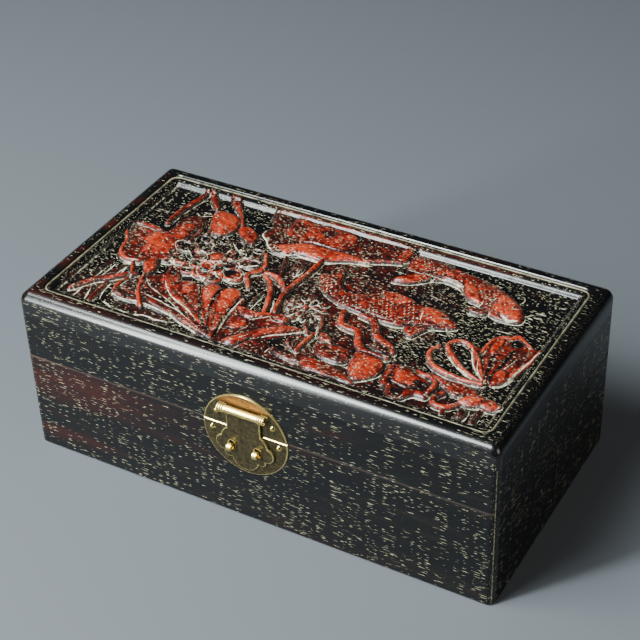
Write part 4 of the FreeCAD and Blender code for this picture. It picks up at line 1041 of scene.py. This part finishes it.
# painted reflection: where the back quarter-round is reddened under its highlight
backOvoloRedReflection = (1 - onGround) * (gridY > 40) * eased((85 - np.abs(gridX - 15)) / 30)
rubbedAndSheen = np.maximum(rubbedAndSheen, rubbing["backOvoloRedReflection"] * backOvoloRedReflection)
leavePaste((slice(None), slice(None)), footGap, 0.62 - 0.9 * eased((gridX + 112) / 12))
# the sheet's own border dips under the rim's edge, out of sight
border = np.zeros(height.shape, bool)
border[[0, -1], :] = border[:, [0, -1]] = True
height[border] = (groundHeight - 0.35)[border]


def addPiece(name, points, faces, material, body):
    mesh = bpy.data.meshes.new(name)
    mesh.from_pydata((np.array(points) * mm).tolist(), [], faces)
    mesh.polygons.foreach_set("use_smooth", np.ones(len(faces), bool))
    mesh.materials.append(material)
    piece = bpy.data.objects.new(name, mesh)
    bpy.context.scene.collection.objects.link(piece)
    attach(piece, body)
    return piece


def gridFaces(corner):
    # a face between every four neighbours of a grid of point numbers
    sides = [corner[:-1, :-1], corner[:-1, 1:], corner[1:, 1:], corner[1:, :-1]]
    return np.stack(sides, -1).reshape(-1, 4).tolist()


quads = gridFaces(np.arange(countX * countY).reshape(countY, countX))
carvedWood = makeHardwood("ebonyCarving", "x", 17.3, 0.12, carvingPores, joints=False, carved=True)
spots = np.stack([gridX, gridY, height], -1).reshape(-1, 3)
reliefPiece = addPiece("carvedRelief", spots, quads, carvedWood, "lid")
for label, field in (("rubbedAndSheen", rubbedAndSheen), ("paste", paste)):
    field = np.clip(field, 0, 1).astype(np.float32).ravel()
    reliefPiece.data.attributes.new(label, "FLOAT", "POINT").data.foreach_set("value", field)
print("carving laid:", countX, "by", countY, "grid")

# the paste line in the groove round the lid: a low uneven bead
grooveBead = {
    # inset from the lid's edge and depth below the rim, in mm
    "profile": [(8.30, 1.10), (8.50, 0.62), (8.85, 0.58), (9.02, 0.80), (9.12, 1.30)],
    "outerRadius": 5.0,      # mm
    "unevenness": 0.06,      # mm
    "sideSteps": [115, 56],
    "cornerPoints": 9,
}


def roundedLoop(inset):
    # points round the lid at an inset, with arcs at the corners
    radius = grooveBead["outerRadius"] - (inset - lidMoulding["grooveOut"])
    x, y = halfLength - inset - radius, halfWidth - inset - radius
    arcs = []
    for cx, cy, start in ((x, y, 0), (-x, y, math.pi / 2), (-x, -y, math.pi), (x, -y, 1.5 * math.pi)):
        turns = np.linspace(start, start + math.pi / 2, grooveBead["cornerPoints"])
        arcs.append(np.column_stack([cx + radius * np.cos(turns), cy + radius * np.sin(turns)]))
    loop = []
    for arc, following, steps in zip(arcs, arcs[1:] + arcs[:1], grooveBead["sideSteps"] * 2):
        loop += [*arc] + [arc[-1] + (following[0] - arc[-1]) * k / steps for k in range(1, steps)]
    return np.array(loop)


wobble = np.random.default_rng(51)
beadPoints = []
for inset, drop in grooveBead["profile"]:
    loop = roundedLoop(inset)
    depth = drop + grooveBead["unevenness"] * wobble.uniform(-1, 1, len(loop))
    beadPoints.append(np.column_stack([loop, lidTop - depth]))
around = len(beadPoints[0])
beadFaces = []
for ring in range(len(beadPoints) - 1):
    for k in range(around):
        here, following = ring * around + k, ring * around + (k + 1) % around
        beadFaces.append((here, following, following + around, here + around))
grooveLine = makePaste("waxPasteLine")
addPiece("groovePasteLine", np.vstack(beadPoints), beadFaces, grooveLine, "lid")

# the felt in the two bays: pads cut to the bay, soft along their edges and not quite flat
feltPad = {   # mm
    "edgeSteps": [0.0, 0.12, 0.35, 0.8],
    "edgeRound": 0.8,
    "unevenness": 0.12,
    "step": 2.5,
}


def layFelt(name, node):
    low, high = (np.array(end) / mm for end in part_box(node))
    lines = []
    for axis in (0, 1):
        steps = np.array(feltPad["edgeSteps"])
        count = int((high[axis] - low[axis]) / feltPad["step"])
        inner = np.linspace(low[axis] + steps[-1], high[axis] - steps[-1], count)
        lines.append(np.concatenate([low[axis] + steps[:-1], inner, high[axis] - steps[-2::-1]]))
    x, y = np.meshgrid(*lines)
    toEdge = np.minimum.reduce([x - low[0], high[0] - x, y - low[1], high[1] - y])
    fall = feltPad["edgeRound"] * (1 - np.sqrt(1 - np.clip(1 - toEdge / feltPad["edgeRound"], 0, 1) ** 2))
    waves = (2 + np.sin(x / 17 + 1) + np.sin(y / 13 + x / 31)) / 4 * feltPad["unevenness"]
    top = np.stack([x, y, high[2] - np.maximum(fall, waves)], -1).reshape(-1, 3)
    rows, columns = x.shape
    spots = np.arange(rows * columns).reshape(rows, columns)
    faces = gridFaces(spots)
    rim = [*spots[0, :], *spots[1:, -1], *spots[-1, -2::-1], *spots[-2:0:-1, 0]]
    foot = top[rim] * (1, 1, 0) + (0, 0, low[2])
    below = [rows * columns + k for k in range(len(rim))]
    faces += [(rim[k - 1], below[k - 1], below[k], rim[k]) for k in range(len(rim))]
    faces.append(tuple(reversed(below)))
    pad = addPiece(name, np.vstack([top, foot]), faces, feltMaterial, "base")
    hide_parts(node)


feltMaterial = makeFelt("woolFeltDarkRed")
for name, node in (("stoneBayFelt", "stone_bay_lining"), ("stickBayFelt", "stick_bay_lining")):
    layFelt(name, node)
print("groove line and felt laid")

# floor, lights and camera
studio = {
    "floorTone": "#696e74",
    "floorRoughness": 0.7,
    "floorReach": 3.0,       # m
    "aim": (0.0, 0.0, 0.05),   # m, where every light points
    "skyTone": "#7d8792",
    "skyStrength": 0.15,
    "keyWay": (-0.34, -0.42, 0.84),
    "keyDistance": 1.2,
    "keySize": (0.72, 0.40),
    "keyPower": 21.0,
    "stripWay": (-0.47, -0.76, 0.50),
    "stripDistance": 1.3,    # m
    "stripSize": (0.16, 1.25),
    "stripPower": 37.0,
    "softboxTone": "#f2fafa",
    "fillWay": (0.8, -0.1, 0.4),
    "fillDistance": 1.6,
    "fillSize": (0.8, 0.8),
    "fillPower": 7.0,
    "fillTone": "#efe9dc",
}

floorMaterial, add = newMaterial("paleStudioFloor")
finish = {"Base Color": studio["floorTone"], "Roughness": studio["floorRoughness"]}
add("OutputMaterial", {"Surface": add("BsdfPrincipled", finish)})
floorMesh = bpy.data.meshes.new("studioFloor")
far = studio["floorReach"]
floorMesh.from_pydata([(-far, -far, 0), (far, -far, 0), (far, far, 0), (-far, far, 0)], [], [(0, 1, 2, 3)])
floorMesh.materials.append(floorMaterial)
floorPiece = bpy.data.objects.new("studioFloor", floorMesh)
bpy.context.scene.collection.objects.link(floorPiece)


def addSoftbox(kind, tone):
    light = bpy.data.lights.new(kind + "Softbox", "AREA")
    light.shape = "RECTANGLE"
    light.size, light.size_y = studio[kind + "Size"]
    light.energy = studio[kind + "Power"]
    light.color = linearColour(tone)[:3]
    lamp = bpy.data.objects.new(kind + "Softbox", light)
    centre = Vector(studio["aim"])
    lamp.location = centre + Vector(studio[kind + "Way"]).normalized() * studio[kind + "Distance"]
    lamp.rotation_mode = "QUATERNION"
    lamp.rotation_quaternion = (centre - lamp.location).to_track_quat("-Z", "Y")
    bpy.context.scene.collection.objects.link(lamp)


addSoftbox("key", studio["softboxTone"])
addSoftbox("strip", studio["softboxTone"])
addSoftbox("fill", studio["fillTone"])

world = bpy.data.worlds.new("studioAir")
world.use_nodes = True
backdrop = world.node_tree.nodes["Background"]
backdrop.inputs[0].default_value = linearColour(studio["skyTone"])
backdrop.inputs[1].default_value = studio["skyStrength"]
bpy.context.scene.world = world

cameraSpec = {
    "azimuth": 30.519,
    "elevation": 36.391,
    "roll": -2.083,
    "place": (322.7, -543.2, 539.6),   # mm
    "focalPixels": 1644.2,
    "frameWidth": 640,
    "sensorWidth": 36.0,
}
turn, lift, roll = (math.radians(cameraSpec[k]) for k in ("azimuth", "elevation", "roll"))
back = Vector((math.sin(turn) * math.cos(lift), -math.cos(turn) * math.cos(lift), math.sin(lift)))
right = (-back).cross(Vector((0, 0, 1))).normalized()
up = right.cross(-back)
right, up = (right * math.cos(roll) + up * math.sin(roll), up * math.cos(roll) - right * math.sin(roll))
lens = bpy.data.cameras.new("viewCamera")
lens.sensor_width = cameraSpec["sensorWidth"]
lens.lens = cameraSpec["sensorWidth"] * cameraSpec["focalPixels"] / cameraSpec["frameWidth"]
lens.clip_start, lens.clip_end = 0.01, 20.0
camera = bpy.data.objects.new("viewCamera", lens)
facing = Matrix((right, up, back)).transposed().to_4x4()
camera.matrix_world = Matrix.Translation(Vector(cameraSpec["place"]) * mm) @ facing
bpy.context.scene.collection.objects.link(camera)
bpy.context.scene.camera = camera
print("floor, lights and camera placed")
